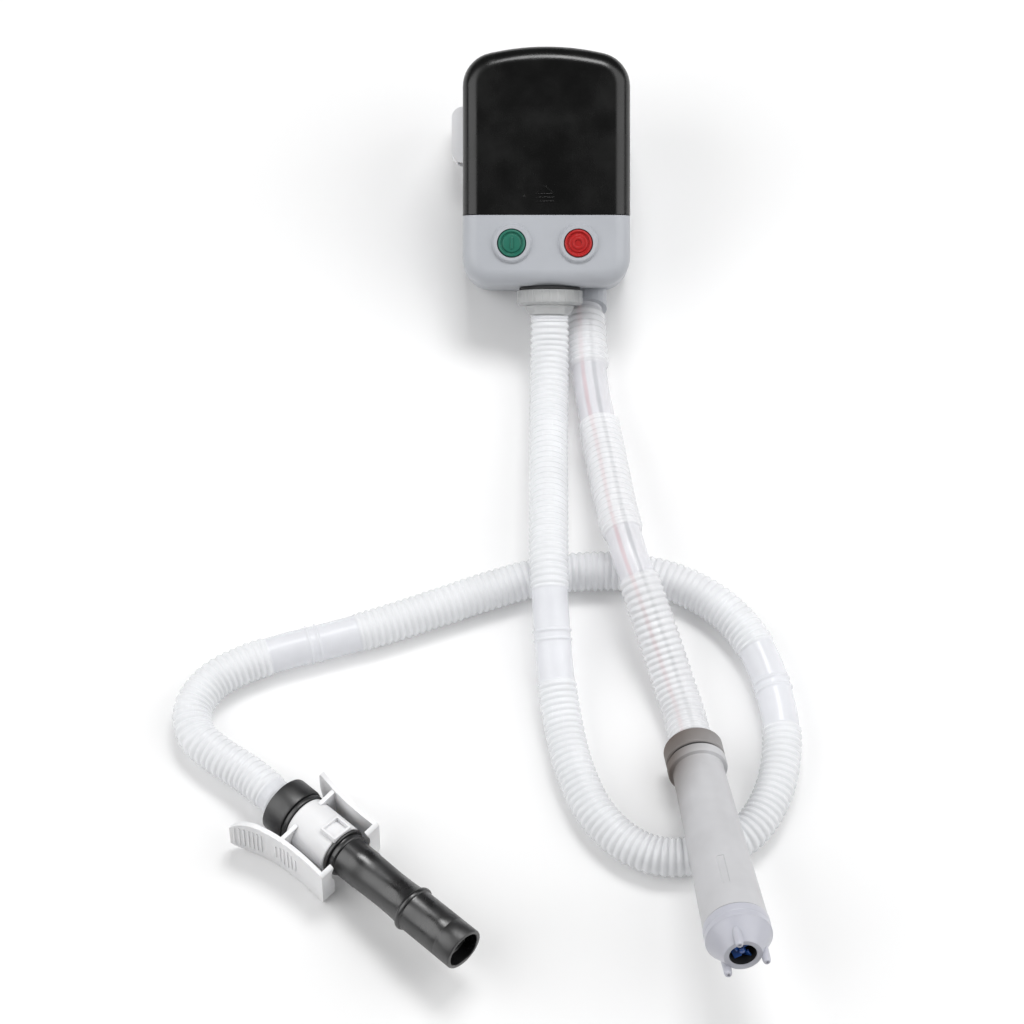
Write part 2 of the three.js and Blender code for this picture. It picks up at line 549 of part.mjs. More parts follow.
// ---------------------------------------------------------------- nozzle and its tank clip
function buildNozzle() {
  const nozzle = aimed(NOZZLE.place, NOZZLE.heading, NOZZLE.rise);
  const { collar, sleeve, tip, bore, core } = NOZZLE;
  piece(nozzle, 'nozzle_collar', turned([
    [bore, -8], [collar - 1, -8], [collar, -7], [collar, 4], [collar - 0.8, 4.8],
    [core + GAP, 4.8], [core + GAP, -5], [bore, -5], [bore, -8],
  ], FINE), FINISH.black);
  piece(nozzle, 'nozzle_lip_ring', ringY(core + GAP, 14.3, 5.1, 7.2, FINE), FINISH.black);
  piece(nozzle, 'nozzle_core', ringY(7.4, core, -4.7, 33.6, MEDIUM), FINISH.white);
  piece(nozzle, 'clip_sleeve', turned([
    [core + GAP, 7.5], [sleeve - 0.5, 7.5], [sleeve, 8], [sleeve, 33], [sleeve - 0.8, 33.8],
    [core + GAP, 33.8], [core + GAP, 7.5],
  ], FINE), FINISH.white);

  const roll = -32 * DEG;
  const frame = box([-6.6, 19.5, 11.9], [6.6, 33, 15.3])
    .subtract(box([-4.8, 21.3, 10], [4.8, 31.2, 17]))
    .subtract(rodY(sleeve + GAP, 10, 40, 0, 0, FINE));
  piece(nozzle, 'clip_lock_tab', frame.rotate(0, roll / DEG, 0), FINISH.white);

  piece(nozzle, 'nozzle_tube', turned([
    [bore, 34.1], [11.8, 34.1], [11.8, 36.6], [10.6, 37.6], [10.7, 46], [10.2, 66], [10.7, 82],
    [12.3, 83.2], [12.3, 87], [11.1, 88.4], [11.2, 104], [11.5, tip - 0.8], [11, tip],
    [9.4, tip], [bore, 60], [bore, 34.1],
  ], FINE), FINISH.black);

  const level = aimed(NOZZLE.place, NOZZLE.heading, 0);
  const tilt = NOZZLE.rise / DEG;
  const clearance = rodY(sleeve + GAP, -20, 60, 0, 0, FINE).rotate(tilt, 0, 0);
  const bottom = CLIP.low - NOZZLE.place[2];
  const top = CLIP.high - NOZZLE.place[2];
  const web = box([8, CLIP.webY, bottom + 2], [22, CLIP.webY + 2.2, top - 1]).subtract(clearance);

  const left = new THREE.Shape();
  left.moveTo(28.9, -15.6);
  left.lineTo(31.2, -14.8);
  left.quadraticCurveTo(23.8, 3, 20.6, CLIP.front);
  left.lineTo(12.2, CLIP.front);
  left.lineTo(12.2, CLIP.front - CLIP.thickness);
  left.lineTo(18.2, CLIP.front - CLIP.thickness);
  left.quadraticCurveTo(21.4, 3, 28.9, -15.6);
  piece(level, 'clip_lever_left', union(extruded(left, bottom, top), web), FINISH.white);

  const right = outlineOf([
    [-20.0, -6], [-22.4, -6], [-20.6, CLIP.front], [-12.2, CLIP.front],
    [-12.2, CLIP.front - CLIP.thickness], [-18.2, CLIP.front - CLIP.thickness],
  ]);
  piece(level, 'clip_lever_right', union(extruded(right, bottom, top), web.mirror([1, 0, 0])), FINISH.white);
}

buildHousing();
buildHolder();
buildScrews();
buildBatteryBay();
buildControls();
buildFlowPath();
buildHoses();
buildIntake();
buildNozzle();

export default pump;
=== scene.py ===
"""Battery liquid transfer pump: the fine visual model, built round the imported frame."""
import logging
import math
from dataclasses import dataclass, field
from enum import Enum
from typing import Iterable, Sequence

import bmesh
import bpy
from mathutils import Matrix, Vector


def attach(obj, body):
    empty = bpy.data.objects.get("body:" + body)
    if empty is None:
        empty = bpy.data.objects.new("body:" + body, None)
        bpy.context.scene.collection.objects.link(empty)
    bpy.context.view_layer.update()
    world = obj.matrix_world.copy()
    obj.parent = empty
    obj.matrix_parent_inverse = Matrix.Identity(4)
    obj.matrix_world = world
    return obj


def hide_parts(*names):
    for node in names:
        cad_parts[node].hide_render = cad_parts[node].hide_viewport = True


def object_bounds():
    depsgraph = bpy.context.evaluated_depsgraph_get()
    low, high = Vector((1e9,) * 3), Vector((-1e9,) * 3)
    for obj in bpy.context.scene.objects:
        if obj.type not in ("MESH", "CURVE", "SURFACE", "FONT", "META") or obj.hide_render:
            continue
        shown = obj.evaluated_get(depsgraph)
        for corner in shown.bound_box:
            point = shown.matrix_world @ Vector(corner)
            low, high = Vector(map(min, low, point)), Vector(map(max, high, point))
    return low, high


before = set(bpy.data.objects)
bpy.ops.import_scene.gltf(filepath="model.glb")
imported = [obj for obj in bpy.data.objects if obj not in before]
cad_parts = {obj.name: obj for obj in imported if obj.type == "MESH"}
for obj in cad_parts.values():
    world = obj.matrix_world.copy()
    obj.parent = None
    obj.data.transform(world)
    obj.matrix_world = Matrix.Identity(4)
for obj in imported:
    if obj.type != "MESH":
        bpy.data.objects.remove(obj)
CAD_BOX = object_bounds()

LOG = logging.getLogger("pump")
MM = 0.001
TURN = 2 * math.pi
LAYOUT_SHIFT = Vector((7.07, 23.61, -0.09))
Profile = Sequence[tuple[float, float]]
Colour = tuple[float, float, float]
Point = tuple[float, float, float]


class Body(str, Enum):
    """The bodies of the frame that pieces ride on."""

    PUMP = "pump_body"
    COVER = "cover"
    START = "start_button"
    STOP = "stop_button"
    NUT = "nut"
    COLLAR = "collar"
    ROTOR = "rotor"
    LEFT = "left_lever"
    RIGHT = "right_lever"


class Cut(str, Enum):
    """How one solid works on another."""

    JOIN = "UNION"
    REMOVE = "DIFFERENCE"
    KEEP = "INTERSECT"


# ---------------------------------------------------------------- finishes
@dataclass(frozen=True)
class Finish:
    """A moulded or metal finish, with its own grain, mottling and rubbed lines."""

    slot: str
    color: Colour
    roughness: float
    second_color: Colour = (0.5, 0.5, 0.5)
    mottle: float = 0.05
    grain: float = 2600.0
    grain_depth: float = 0.0000015
    scratch: float = 0.05
    metallic: float = 0.0
    specular: float = 0.5
    coat: float = 0.0
    alpha: float = 1.0
    clear_alpha: float = 1.0
    subsurface: float = 0.0
    shaded: bool = False

    def material(self, name: str) -> bpy.types.Material:
        """Builds the material, or hands back the one already built.

        Args:
            name: the material's name.

        Returns:
            The material with all its nodes.
        """
        known = bpy.data.materials.get(f"fine {name}")
        if known:
            return known
        made = bpy.data.materials.new(f"fine {name}")
        made.use_nodes = True
        tree = made.node_tree
        tree.nodes.clear()
        surface = tree.nodes.new("ShaderNodeGroup")
        surface.node_tree = moulded_surface()
        surface.inputs["Color"].default_value = (*self.color, 1)
        surface.inputs["Second Color"].default_value = (*self.second_color, 1)
        surface.inputs["Mottle"].default_value = self.mottle
        surface.inputs["Grain Scale"].default_value = self.grain
        surface.inputs["Roughness"].default_value = self.roughness
        surface.inputs["Scratch"].default_value = self.scratch
        bump = added(tree, "Bump", {
            "Strength": 0.5, "Distance": self.grain_depth, "Height": surface.outputs["Height"]})
        shader = added(tree, "BsdfPrincipled", {
            "Base Color": surface.outputs["Color"], "Roughness": surface.outputs["Roughness"],
            "Normal": bump.outputs["Normal"], "Metallic": self.metallic, "Specular IOR Level": self.specular,
            "Coat Weight": self.coat, "Coat Roughness": 0.08, "Subsurface Weight": self.subsurface,
            "Subsurface Radius": (1.0, 0.9, 0.8), "Subsurface Scale": 0.002, "Alpha": self.alpha})
        added(tree, "OutputMaterial", {"Surface": shader.outputs["BSDF"]})
        if self.shaded:
            tone = added(tree, "Attribute", {})
            tone.attribute_name = "tone"
            tree.links.new(tone.outputs["Fac"], surface.inputs["Tone"])
            if self.alpha < 1:
                span = added(tree, "MapRange", {
                    "To Min": self.alpha, "To Max": self.clear_alpha, "Value": tone.outputs["Fac"]})
                tree.links.new(span.outputs["Result"], shader.inputs["Alpha"])
        return made


def added(tree: bpy.types.NodeTree, kind: str, values: dict, operation: str = "") -> bpy.types.Node:
    """Adds a shader node and fills its inputs.

    Args:
        tree: the node tree.
        kind: the node's type, after "ShaderNode".
        values: a number, a colour or an output to link, by the input's name or place.
        operation: the operation of a math node.

    Returns:
        The node.
    """
    made = tree.nodes.new(f"ShaderNode{kind}")
    if operation:
        made.operation = operation
    for name, value in values.items():
        if isinstance(value, bpy.types.NodeSocket):
            tree.links.new(value, made.inputs[name])
        else:
            made.inputs[name].default_value = value
    return made


def moulded_surface() -> bpy.types.NodeTree:
    """Builds once the node group for grain, mottling, tone and rubbed lines.

    Returns:
        The node group, with outputs Color, Roughness and Height.
    """
    known = bpy.data.node_groups.get("moulded surface")
    if known:
        return known
    group = bpy.data.node_groups.new("moulded surface", "ShaderNodeTree")
    colours = ("Color", "Second Color")
    inputs = ("Color", "Second Color", "Tone", "Mottle", "Grain Scale", "Roughness", "Scratch")
    for way, names in (("INPUT", inputs), ("OUTPUT", ("Color", "Roughness", "Height"))):
        for name in names:
            kind = "NodeSocketColor" if name in colours else "NodeSocketFloat"
            group.interface.new_socket(name, in_out=way, socket_type=kind)
    given = group.nodes.new("NodeGroupInput").outputs
    result = group.nodes.new("NodeGroupOutput").inputs
    place_on = added(group, "TexCoord", {}).outputs["Object"]

    grain = added(group, "TexNoise", {"Detail": 1.5, "Vector": place_on, "Scale": given["Grain Scale"]})
    cloud = added(group, "TexNoise", {"Scale": 55.0, "Detail": 3.0, "Vector": place_on})
    stretch = added(group, "Mapping", {
        "Rotation": (0.3, 0.5, 0.8), "Scale": (2600.0, 90.0, 90.0), "Vector": place_on})
    rubbed = added(group, "TexNoise", {"Scale": 1.0, "Detail": 2.0, "Vector": stretch.outputs["Vector"]})
    lines = added(group, "MapRange", {"From Min": 0.6, "From Max": 0.72, "Value": rubbed.outputs["Fac"]})

    toned_color = group.nodes.new("ShaderNodeMix")
    toned_color.data_type = "RGBA"
    group.links.new(given["Tone"], toned_color.inputs["Factor"])
    group.links.new(given["Color"], toned_color.inputs["A"])
    group.links.new(given["Second Color"], toned_color.inputs["B"])

    swing = added(group, "MapRange", {
        "From Min": 0.3, "From Max": 0.7, "To Min": -1.0, "Value": cloud.outputs["Fac"]})
    amount = added(group, "Math", {0: swing.outputs["Result"], 1: given["Mottle"]}, "MULTIPLY")
    shade = added(group, "Math", {0: amount.outputs["Value"], 1: 1.0})
    mottled = added(group, "VectorMath", {}, "SCALE")
    group.links.new(toned_color.outputs["Result"], mottled.inputs[0])
    group.links.new(shade.outputs["Value"], mottled.inputs["Scale"])
    group.links.new(mottled.outputs["Vector"], result["Color"])

    scraped = added(group, "Math", {0: lines.outputs["Result"], 1: given["Scratch"]}, "MULTIPLY")
    rough = added(group, "Math", {0: given["Roughness"], 1: scraped.outputs["Value"]})
    varied = added(group, "Math", {
        0: amount.outputs["Value"], 1: 0.5, 2: rough.outputs["Value"]}, "MULTIPLY_ADD")
    group.links.new(varied.outputs["Value"], result["Roughness"])
    height = added(group, "Math", {0: grain.outputs["Fac"], 1: scraped.outputs["Value"]}, "SUBTRACT")
    group.links.new(height.outputs["Value"], result["Height"])
    return group


FINISHES: dict[str, Finish] = {
    "body": Finish("body", (0.42, 0.435, 0.465), 0.4, mottle=0.03, grain=3200, grain_depth=5e-6),
    "cover": Finish("cover", (0.0008, 0.0009, 0.0008), 0.26, mottle=0.12, specular=0.5, scratch=0.02),
    "white": Finish("white", (0.82, 0.82, 0.83), 0.42, mottle=0.03, grain_depth=5e-6, subsurface=0.1),
    "green": Finish("green", (0.016, 0.145, 0.10), 0.34, mottle=0.08),
    "red": Finish("red", (0.42, 0.012, 0.012), 0.34, mottle=0.08),
    "frosted": Finish("frosted", (0.62, 0.63, 0.63), 0.4, alpha=0.4, mottle=0.06, grain_depth=5e-6),
    "hose": Finish("hose", (0.90, 0.91, 0.93), 0.24, second_color=(0.87, 0.88, 0.92), alpha=0.72, clear_alpha=0.62,
                   mottle=0.04, grain=1400, shaded=True),
    "taupe": Finish("taupe", (0.085, 0.06, 0.045), 0.46, second_color=(0.31, 0.30, 0.30), mottle=0.08,
                    grain_depth=5e-6, shaded=True),
    "barrel": Finish("barrel", (0.10, 0.075, 0.06), 0.5, second_color=(0.54, 0.54, 0.555), mottle=0.05,
                     grain_depth=5e-6, shaded=True),
    "cap": Finish("cap", (0.50, 0.505, 0.56), 0.34, mottle=0.03, subsurface=0.15),
    "blue": Finish("blue", (0.015, 0.085, 0.36), 0.14, mottle=0.1, coat=0.6),
    "black": Finish("black", (0.006, 0.006, 0.0065), 0.34, mottle=0.3, specular=1.0, scratch=0.1),
    "rubber": Finish("rubber", (0.018, 0.018, 0.02), 0.75, mottle=0.12, grain=1800, grain_depth=2e-5),
    "steel": Finish("steel", (0.55, 0.56, 0.58), 0.28, metallic=1.0, scratch=0.25),
    # Motor can: real steel, darkened as painted shade so that the slot through the barrel reads dark.
    "can": Finish("steel", (0.12, 0.12, 0.125), 0.5, metallic=0.3),
    "board": Finish("board", (0.02, 0.13, 0.05), 0.45, mottle=0.15),
    "cell_jacket": Finish("cell_jacket", (0.10, 0.13, 0.19), 0.32, mottle=0.1),
    "lead_red": Finish("lead_red", (0.55, 0.03, 0.05), 0.45, mottle=0.1),
    "lead_black": Finish("lead_black", (0.03, 0.03, 0.032), 0.45, mottle=0.1),
}


# ---------------------------------------------------------------- places
def place(origin: Point, turn: Matrix) -> Matrix:
    """Gives the matrix from a sub-assembly's millimetres to the frame's metres.

    Args:
        origin: the sub-assembly's origin in layout millimetres.
        turn: its rotation.

    Returns:
        The whole transform.
    """
    where = (LAYOUT_SHIFT + Vector(origin)) * MM
    return Matrix.Translation(where) @ turn.to_4x4() @ Matrix.Scale(MM, 4)


def aimed(origin: Point, heading: float, rise: float) -> Matrix:
    """Places a sub-assembly whose +Y runs along a heading and a rise.

    Args:
        origin: its origin in layout millimetres.
        heading: degrees from -Y towards +X.
        rise: degrees above the table.

    Returns:
        The whole transform.
    """
    h, r = math.radians(heading), math.radians(rise)
    along = Vector((math.sin(h) * math.cos(r), -math.cos(h) * math.cos(r), math.sin(r)))
    across = along.cross(Vector((0, 0, 1))).normalized()
    turn = Matrix((across, along, across.cross(along))).transposed()
    return place(origin, turn)


HEAD_LEAN = math.radians(28)
HEAD_PLACE = place((18.1, 135.69, -2.0), Matrix.Rotation(HEAD_LEAN, 3, "X"))
OUTLET_AT: Point = (1.8, 0.0, 46.5)
INTAKE_PLACE = aimed((92.04, -144.86, 14.7), 8.75, 20.2)
NOZZLE_ORIGIN: Point = (-110.3, -182.0, 17.0)
NOZZLE_HEADING = 46.2
NOZZLE_RISE = 7.1
NOZZLE_PLACE = aimed(NOZZLE_ORIGIN, NOZZLE_HEADING, NOZZLE_RISE)
CLIP_PLACE = aimed(NOZZLE_ORIGIN, NOZZLE_HEADING, 0.0)
UPRIGHT = Matrix.Rotation(math.pi / 2, 4, "X")


# ---------------------------------------------------------------- solids in millimetres
def arc(center: tuple[float, float], radius: float, start: float, end: float, steps: int = 10) -> list:
    """Gives the points of an arc.

    Args:
        center: the arc's centre.
        radius: its radius.
        start: first angle in degrees.
        end: last angle in degrees.
        steps: number of chords.

    Returns:
        The points from start to end.
    """
    angles = [math.radians(start + (end - start) * i / steps) for i in range(steps + 1)]
    return [(center[0] + radius * math.cos(a), center[1] + radius * math.sin(a)) for a in angles]


def bow(a: Sequence[float], mid: Sequence[float], b: Sequence[float], steps: int = 16) -> list:
    """Gives the points of a quadratic curve from a to b pulled towards mid."""
    return [tuple((1 - t) ** 2 * a[i] + 2 * t * (1 - t) * mid[i] + t * t * b[i] for i in range(2))
            for t in (k / steps for k in range(steps + 1))]


class Work:
    """A solid being made in its sub-assembly's millimetres."""

    def __init__(self) -> None:
        """Starts with no geometry."""
        self.shape = bmesh.new()

    def take(self, part: bmesh.types.BMesh, at: Matrix = Matrix()) -> "Work":
        """Adds another mesh to this one and frees it.

        Args:
            part: the mesh to add.
            at: its transform.

        Returns:
            This solid.
        """
        bmesh.ops.transform(part, matrix=at, verts=part.verts)
        spare = bpy.data.meshes.new("spare")
        part.to_mesh(spare)
        part.free()
        self.shape.from_mesh(spare)
        bpy.data.meshes.remove(spare)
        return self

    def turned(self, profile: Profile, at: Matrix = Matrix(), steps: int = 72) -> "Work":
        """Turns (radius, height) pairs about Y; the pairs close on themselves or end on the axis.

        Args:
            profile: the (radius, height) pairs.
            at: its transform.
            steps: number of steps round.

        Returns:
            This solid.
        """
        part = bmesh.new()
        points = [part.verts.new((r, y, 0)) for r, y in profile]
        for a, b in zip(points, points[1:]):
            part.edges.new((a, b))
        bmesh.ops.spin(part, geom=part.verts[:] + part.edges[:], axis=(0, 1, 0), cent=(0, 0, 0),
                       angle=TURN, steps=steps, use_merge=True)
        bmesh.ops.remove_doubles(part, verts=part.verts, dist=1e-4)
        bmesh.ops.recalc_face_normals(part, faces=part.faces)
        return self.take(part, at)

    def ring(self, inner: float, outer: float, low: float, high: float, at: Matrix = Matrix()) -> "Work":
        """Adds a plain ring about Y."""
        return self.turned([(inner, low), (outer, low), (outer, high), (inner, high), (inner, low)], at)

    def rod(self, radius: float, low: float, high: float, at: Matrix = Matrix(), sides: int = 48) -> "Work":
        """Adds a closed cylinder along Z from low to high.

        Args:
            radius: its radius.
            low: its lower end.
            high: its upper end.
            at: its transform.
            sides: number of sides.

        Returns:
            This solid.
        """
        part = bmesh.new()
        bmesh.ops.create_cone(part, cap_ends=True, segments=sides, radius1=radius, radius2=radius,
                              depth=high - low)
        return self.take(part, at @ Matrix.Translation((0, 0, (low + high) / 2)))

    def block(self, low: Point, high: Point, edge: float = 0.0, at: Matrix = Matrix()) -> "Work":
        """Adds a box between two corners, with its edges rounded by edge.

        Args:
            low: the lowest corner.
            high: the highest corner.
            edge: rounding of its edges.
            at: its transform.

        Returns:
            The solid.
        """
        part = bmesh.new()
        bmesh.ops.create_cube(part, size=1)
        size = Vector(high) - Vector(low)
        middle = (Vector(high) + Vector(low)) / 2
        bmesh.ops.scale(part, vec=size, verts=part.verts)
        if edge > 0:
            bmesh.ops.bevel(part, geom=part.edges[:], offset=edge, segments=3, profile=0.5,
                            affect="EDGES", material=-1)
        return self.take(part, at @ Matrix.Translation(middle))

    def slab(self, outline: Iterable, low: float, high: float, rounding: float = 0.0,
             at: Matrix = Matrix(), steps: int = 8) -> "Work":
        """Raises an outline along Z from low to high and rounds its two rims.

        Args:
            outline: its (x, y) points.
            low: its lower face.
            high: its upper face.
            rounding: rounding of both rims.
            at: its transform.
            steps: number of chords in a rounding.

        Returns:
            This solid.
        """
        part = bmesh.new()
        face = part.faces.new([part.verts.new((x, y, low)) for x, y in outline])
        grown = bmesh.ops.extrude_face_region(part, geom=[face])["geom"]
        top = [v for v in grown if isinstance(v, bmesh.types.BMVert)]
        bmesh.ops.translate(part, vec=(0, 0, high - low), verts=top)
        bmesh.ops.recalc_face_normals(part, faces=part.faces)
        if rounding > 0:
            rims = [e for e in part.edges if abs(e.verts[0].co.z - e.verts[1].co.z) < 1e-6]
            bmesh.ops.bevel(part, geom=rims, offset=rounding, segments=steps, profile=0.5,
                            affect="EDGES", material=-1)
        return self.take(part, at)

    def kept(self, axis: Point, at: Point) -> "Work":
        """Cuts the solid with a plane and keeps the side that axis points to, open.

        Args:
            axis: the plane's normal.
            at: a point on the plane.

        Returns:
            This solid.
        """
        geometry = self.shape.verts[:] + self.shape.edges[:] + self.shape.faces[:]
        bmesh.ops.bisect_plane(self.shape, geom=geometry, plane_co=at, plane_no=axis, clear_inner=True)
        return self

    def loose(self, name: str) -> bpy.types.Object:
        """Makes an object in millimetres that is still to be worked on.

        Args:
            name: its name.

        Returns:
            The object.
        """
        mesh = bpy.data.meshes.new(name)
        self.shape.to_mesh(mesh)
        self.shape.free()
        made = bpy.data.objects.new(name, mesh)
        bpy.context.scene.collection.objects.link(made)
        return made


def settled(piece: bpy.types.Object) -> bpy.types.Object:
    """Works a piece's modifiers into its mesh.

    Args:
        piece: the piece.

    Returns:
        The same piece.
    """
    bpy.context.view_layer.update()
    graph = bpy.context.evaluated_depsgraph_get()
    mesh = bpy.data.meshes.new_from_object(piece.evaluated_get(graph))
    old = piece.data
    piece.modifiers.clear()
    piece.data = mesh
    bpy.data.meshes.remove(old)
    return piece


def worked(piece: bpy.types.Object, tool: Work, cut: Cut) -> bpy.types.Object:
    """Joins, removes or keeps a second solid in a piece.

    Args:
        piece: the piece in millimetres.
        tool: the second solid.
        cut: what is done with it.

    Returns:
        The piece.
    """
    other = tool.loose("tool")
    step = piece.modifiers.new("cut", "BOOLEAN")
    step.operation = cut.value
    step.solver = "EXACT"
    step.object = other
    settled(piece)
    mesh = other.data
    bpy.data.objects.remove(other)
    bpy.data.meshes.remove(mesh)
    return piece


@dataclass
class Maker:
    """Places finished pieces on the frame and keeps a list of them."""

    made: list[bpy.types.Object] = field(default_factory=list)

    def walled(self, piece: bpy.types.Object, wall: float) -> bpy.types.Object:
        """Gives an open skin its inward wall thickness.

        Args:
            piece: the open skin.
            wall: the wall in millimetres.

        Returns:
            The piece with its wall.
        """
        step = piece.modifiers.new("wall", "SOLIDIFY")
        step.thickness = wall
        step.offset = -1
        step.use_even_offset = True
        return settled(piece)

    def done(self, piece: bpy.types.Object | Work, name: str, where: Matrix, body: Body, finish: str,
             nodes: Sequence[str] = (), edge: float = 0.25, angle: float = 32.0) -> bpy.types.Object:
        """Rounds a piece's edges, places it, dresses it and puts it on its body.

        Args:
            piece: the piece in millimetres.
            name: its final name.
            where: the transform to the frame.
            body: the body that it rides on.
            finish: the name of its finish.
            nodes: the CAD nodes that it stands for.
            edge: rounding of its sharp edges in millimetres.
            angle: degrees past which an edge stays sharp.

        Returns:
            The finished piece.
        """
        if isinstance(piece, Work):
            piece = piece.loose(name)
        piece.name = piece.data.name = name
        if edge > 0:
            step = piece.modifiers.new("edge", "BEVEL")
            step.width = edge
            step.segments = 2
            step.limit_method = "ANGLE"
            step.angle_limit = math.radians(35)
            step.use_clamp_overlap = True
            settled(piece)
            piece.data.name = name
        piece.data.transform(where)
        for face in piece.data.polygons:
            face.use_smooth = True
        piece.data.set_sharp_from_angle(angle=math.radians(angle))
        if edge > 0:
            step = piece.modifiers.new("flats", "WEIGHTED_NORMAL")
            step.keep_sharp = True
            settled(piece)
            piece.data.name = name
        piece.data.materials.clear()
        piece.data.materials.append(FINISHES[finish].material(finish))
        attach(piece, body.value)
        if nodes:
            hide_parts(*nodes)
        self.made.append(piece)
        return piece

    def dress(self, finish: str, *nodes: str) -> None:
        """Gives CAD nodes that stay as they are their procedural material.

        Args:
            finish: the finish's name.
            nodes: the CAD nodes.
        """
        for node in nodes:
            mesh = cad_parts[node].data
            mesh.materials.clear()
            mesh.materials.append(FINISHES[finish].material(finish))


def toned(piece: bpy.types.Object, where: Matrix, low: float, high: float, lean: float = 0.0) -> None:
    """Stores how far each point lies from low to high along a sub-assembly, as the attribute tone.

    Args:
        piece: a finished piece.
        where: the sub-assembly's transform.
        low: where the tone is 0, in millimetres.
        high: where it is 1.
        lean: how much a step across adds to a step along.
    """
    back = where.inverted()
    values = []
    for vertex in piece.data.vertices:
        local = back @ vertex.co
        # The tone mixes a finish's colour towards its second colour. A lean keeps the +x side nearer the
        # first colour for longer, so on the barrel and collar that side stays darker and browner.
        values.append(min(1.0, max(0.0, (local.y + lean * -local.x - low) / (high - low))))
    layer = piece.data.attributes.new("tone", "FLOAT", "POINT")
    layer.data.foreach_set("value", values)


# ---------------------------------------------------------------- camera and studio
@dataclass
class Studio:
    """The camera, the soft lights and the pale floor."""

    target: Point = (0.00707, 0.02361, 0.0)
    elevation: float = 61.5
    distance: float = 2.98098
    lens: float = 200.0
    floor: float = 8.0
    world: float = 0.13
    key_watts: float = 15.0
    left_watts: float = 19.0
    right_watts: float = 18.0

    def camera(self) -> None:
        """Sets the camera where the long lens stands."""
        data = bpy.data.cameras.new("camera")
        data.lens = self.lens
        data.sensor_width = 36
        data.clip_end = 50
        camera = bpy.data.objects.new("camera", data)
        tilt = math.radians(self.elevation)
        away = Vector((0, -math.cos(tilt), math.sin(tilt))) * self.distance
        camera.location = Vector(self.target) + away
        camera.rotation_euler = (math.pi / 2 - tilt, 0, 0)
        bpy.context.scene.collection.objects.link(camera)
        bpy.context.scene.camera = camera

    def softbox(self, name: str, at: Point, size: tuple[float, float], watts: float) -> None:
        """Adds a rectangular area light that faces the middle of the pump.

        Args:
            name: the light's name.
            at: where it hangs, in metres.
            size: its width and length in metres.
            watts: its power.
        """
        data = bpy.data.lights.new(name, "AREA")
        data.shape = "RECTANGLE"
        data.size, data.size_y = size
        data.energy = watts
        light = bpy.data.objects.new(name, data)
        light.location = at
        light.rotation_euler = (Vector(at) - Vector((0, 0, 0.03))).to_track_quat("Z", "Y").to_euler()
        bpy.context.scene.collection.objects.link(light)

    def lights(self) -> None:
        """Adds the key light beyond the head, a strip at each side and the even surround."""
        self.softbox("key", (0.2, 0.62, 1.75), (0.8, 0.55), self.key_watts)
        self.softbox("left box", (-1.25, -0.3, 1.1), (1.7, 1.7), self.left_watts)
        self.softbox("right box", (1.25, -0.1, 1.1), (1.7, 1.7), self.right_watts)
        world = bpy.data.worlds.new("surround")
        world.use_nodes = True
        world.node_tree.nodes["Background"].inputs["Color"].default_value = (1, 1, 1, 1)
        world.node_tree.nodes["Background"].inputs["Strength"].default_value = self.world
        bpy.context.scene.world = world
        bpy.context.scene.view_settings.view_transform = "Standard"

    def ground(self) -> None:
        """Lays the pale floor."""
        part = bmesh.new()
        bmesh.ops.create_grid(part, x_segments=1, y_segments=1, size=self.floor / 2)
        mesh = bpy.data.meshes.new("floor")
        part.to_mesh(mesh)
        part.free()
        mesh.transform(Matrix.Translation((0, 0, CAD_BOX[0][2] - 0.0002)))
        floor = bpy.data.objects.new("floor", mesh)
        bpy.context.scene.collection.objects.link(floor)
        paper = bpy.data.materials.new("paper")
        paper.use_nodes = True
        shader = paper.node_tree.nodes["Principled BSDF"]
        shader.inputs["Base Color"].default_value = (0.92, 0.92, 0.92, 1)
        shader.inputs["Roughness"].default_value = 0.9
        shader.inputs["Specular IOR Level"].default_value = 0.1
        mesh.materials.append(paper)


# ---------------------------------------------------------------- hoses
@dataclass
class Route:
    """A smooth centreline through given points, in layout millimetres."""

    points: list[Point]
    offset: Point = (0.0, 0.0, 0.0)

    def dense(self) -> list[Vector]:
        """Samples the centripetal curve closely, in metres in the frame.

        Returns:
            The points.
        """
        p = [Vector(q) + Vector(self.offset) for q in self.points]
        p = [2 * p[0] - p[1]] + p + [2 * p[-1] - p[-2]]
        found = []
        for i in range(1, len(p) - 2):
            a, b, c, d = p[i - 1:i + 3]
            s0, s1, s2 = ((q - r).length ** 0.5 for q, r in ((b, a), (c, b), (d, c)))
            m1 = ((b - a) / s0 - (c - a) / (s0 + s1) + (c - b) / s1) * s1
            m2 = ((c - b) / s1 - (d - b) / (s1 + s2) + (d - c) / s2) * s1
            for k in range(40):
                t = k / 40
                square, cube = 3 * (c - b) - 2 * m1 - m2, 2 * (b - c) + m1 + m2
                found.append(b + t * m1 + t * t * square + t ** 3 * cube)
        found.append(p[-2])
        return [(q + LAYOUT_SHIFT) * MM for q in found]

    def even(self, step: float) -> list[Vector]:
        """Gives points about a step apart along the whole curve, in metres.

        Args:
            step: the spacing in metres.

        Returns:
            The points.
        """
        dense = self.dense()
        reach = [0.0]
        for a, b in zip(dense, dense[1:]):
            reach.append(reach[-1] + (b - a).length)
        count = max(2, round(reach[-1] / step))
        found, k = [], 0
        for i in range(count + 1):
            want = reach[-1] * i / count
            while k < len(reach) - 2 and reach[k + 1] < want:
                k += 1
            part = (want - reach[k]) / max(1e-9, reach[k + 1] - reach[k])
            found.append(dense[k].lerp(dense[k + 1], min(1.0, part)))
        return found


def length_of(points: Sequence[Vector]) -> float:
    """Gives the length of a chain of points."""
    return sum((b - a).length for a, b in zip(points, points[1:]))


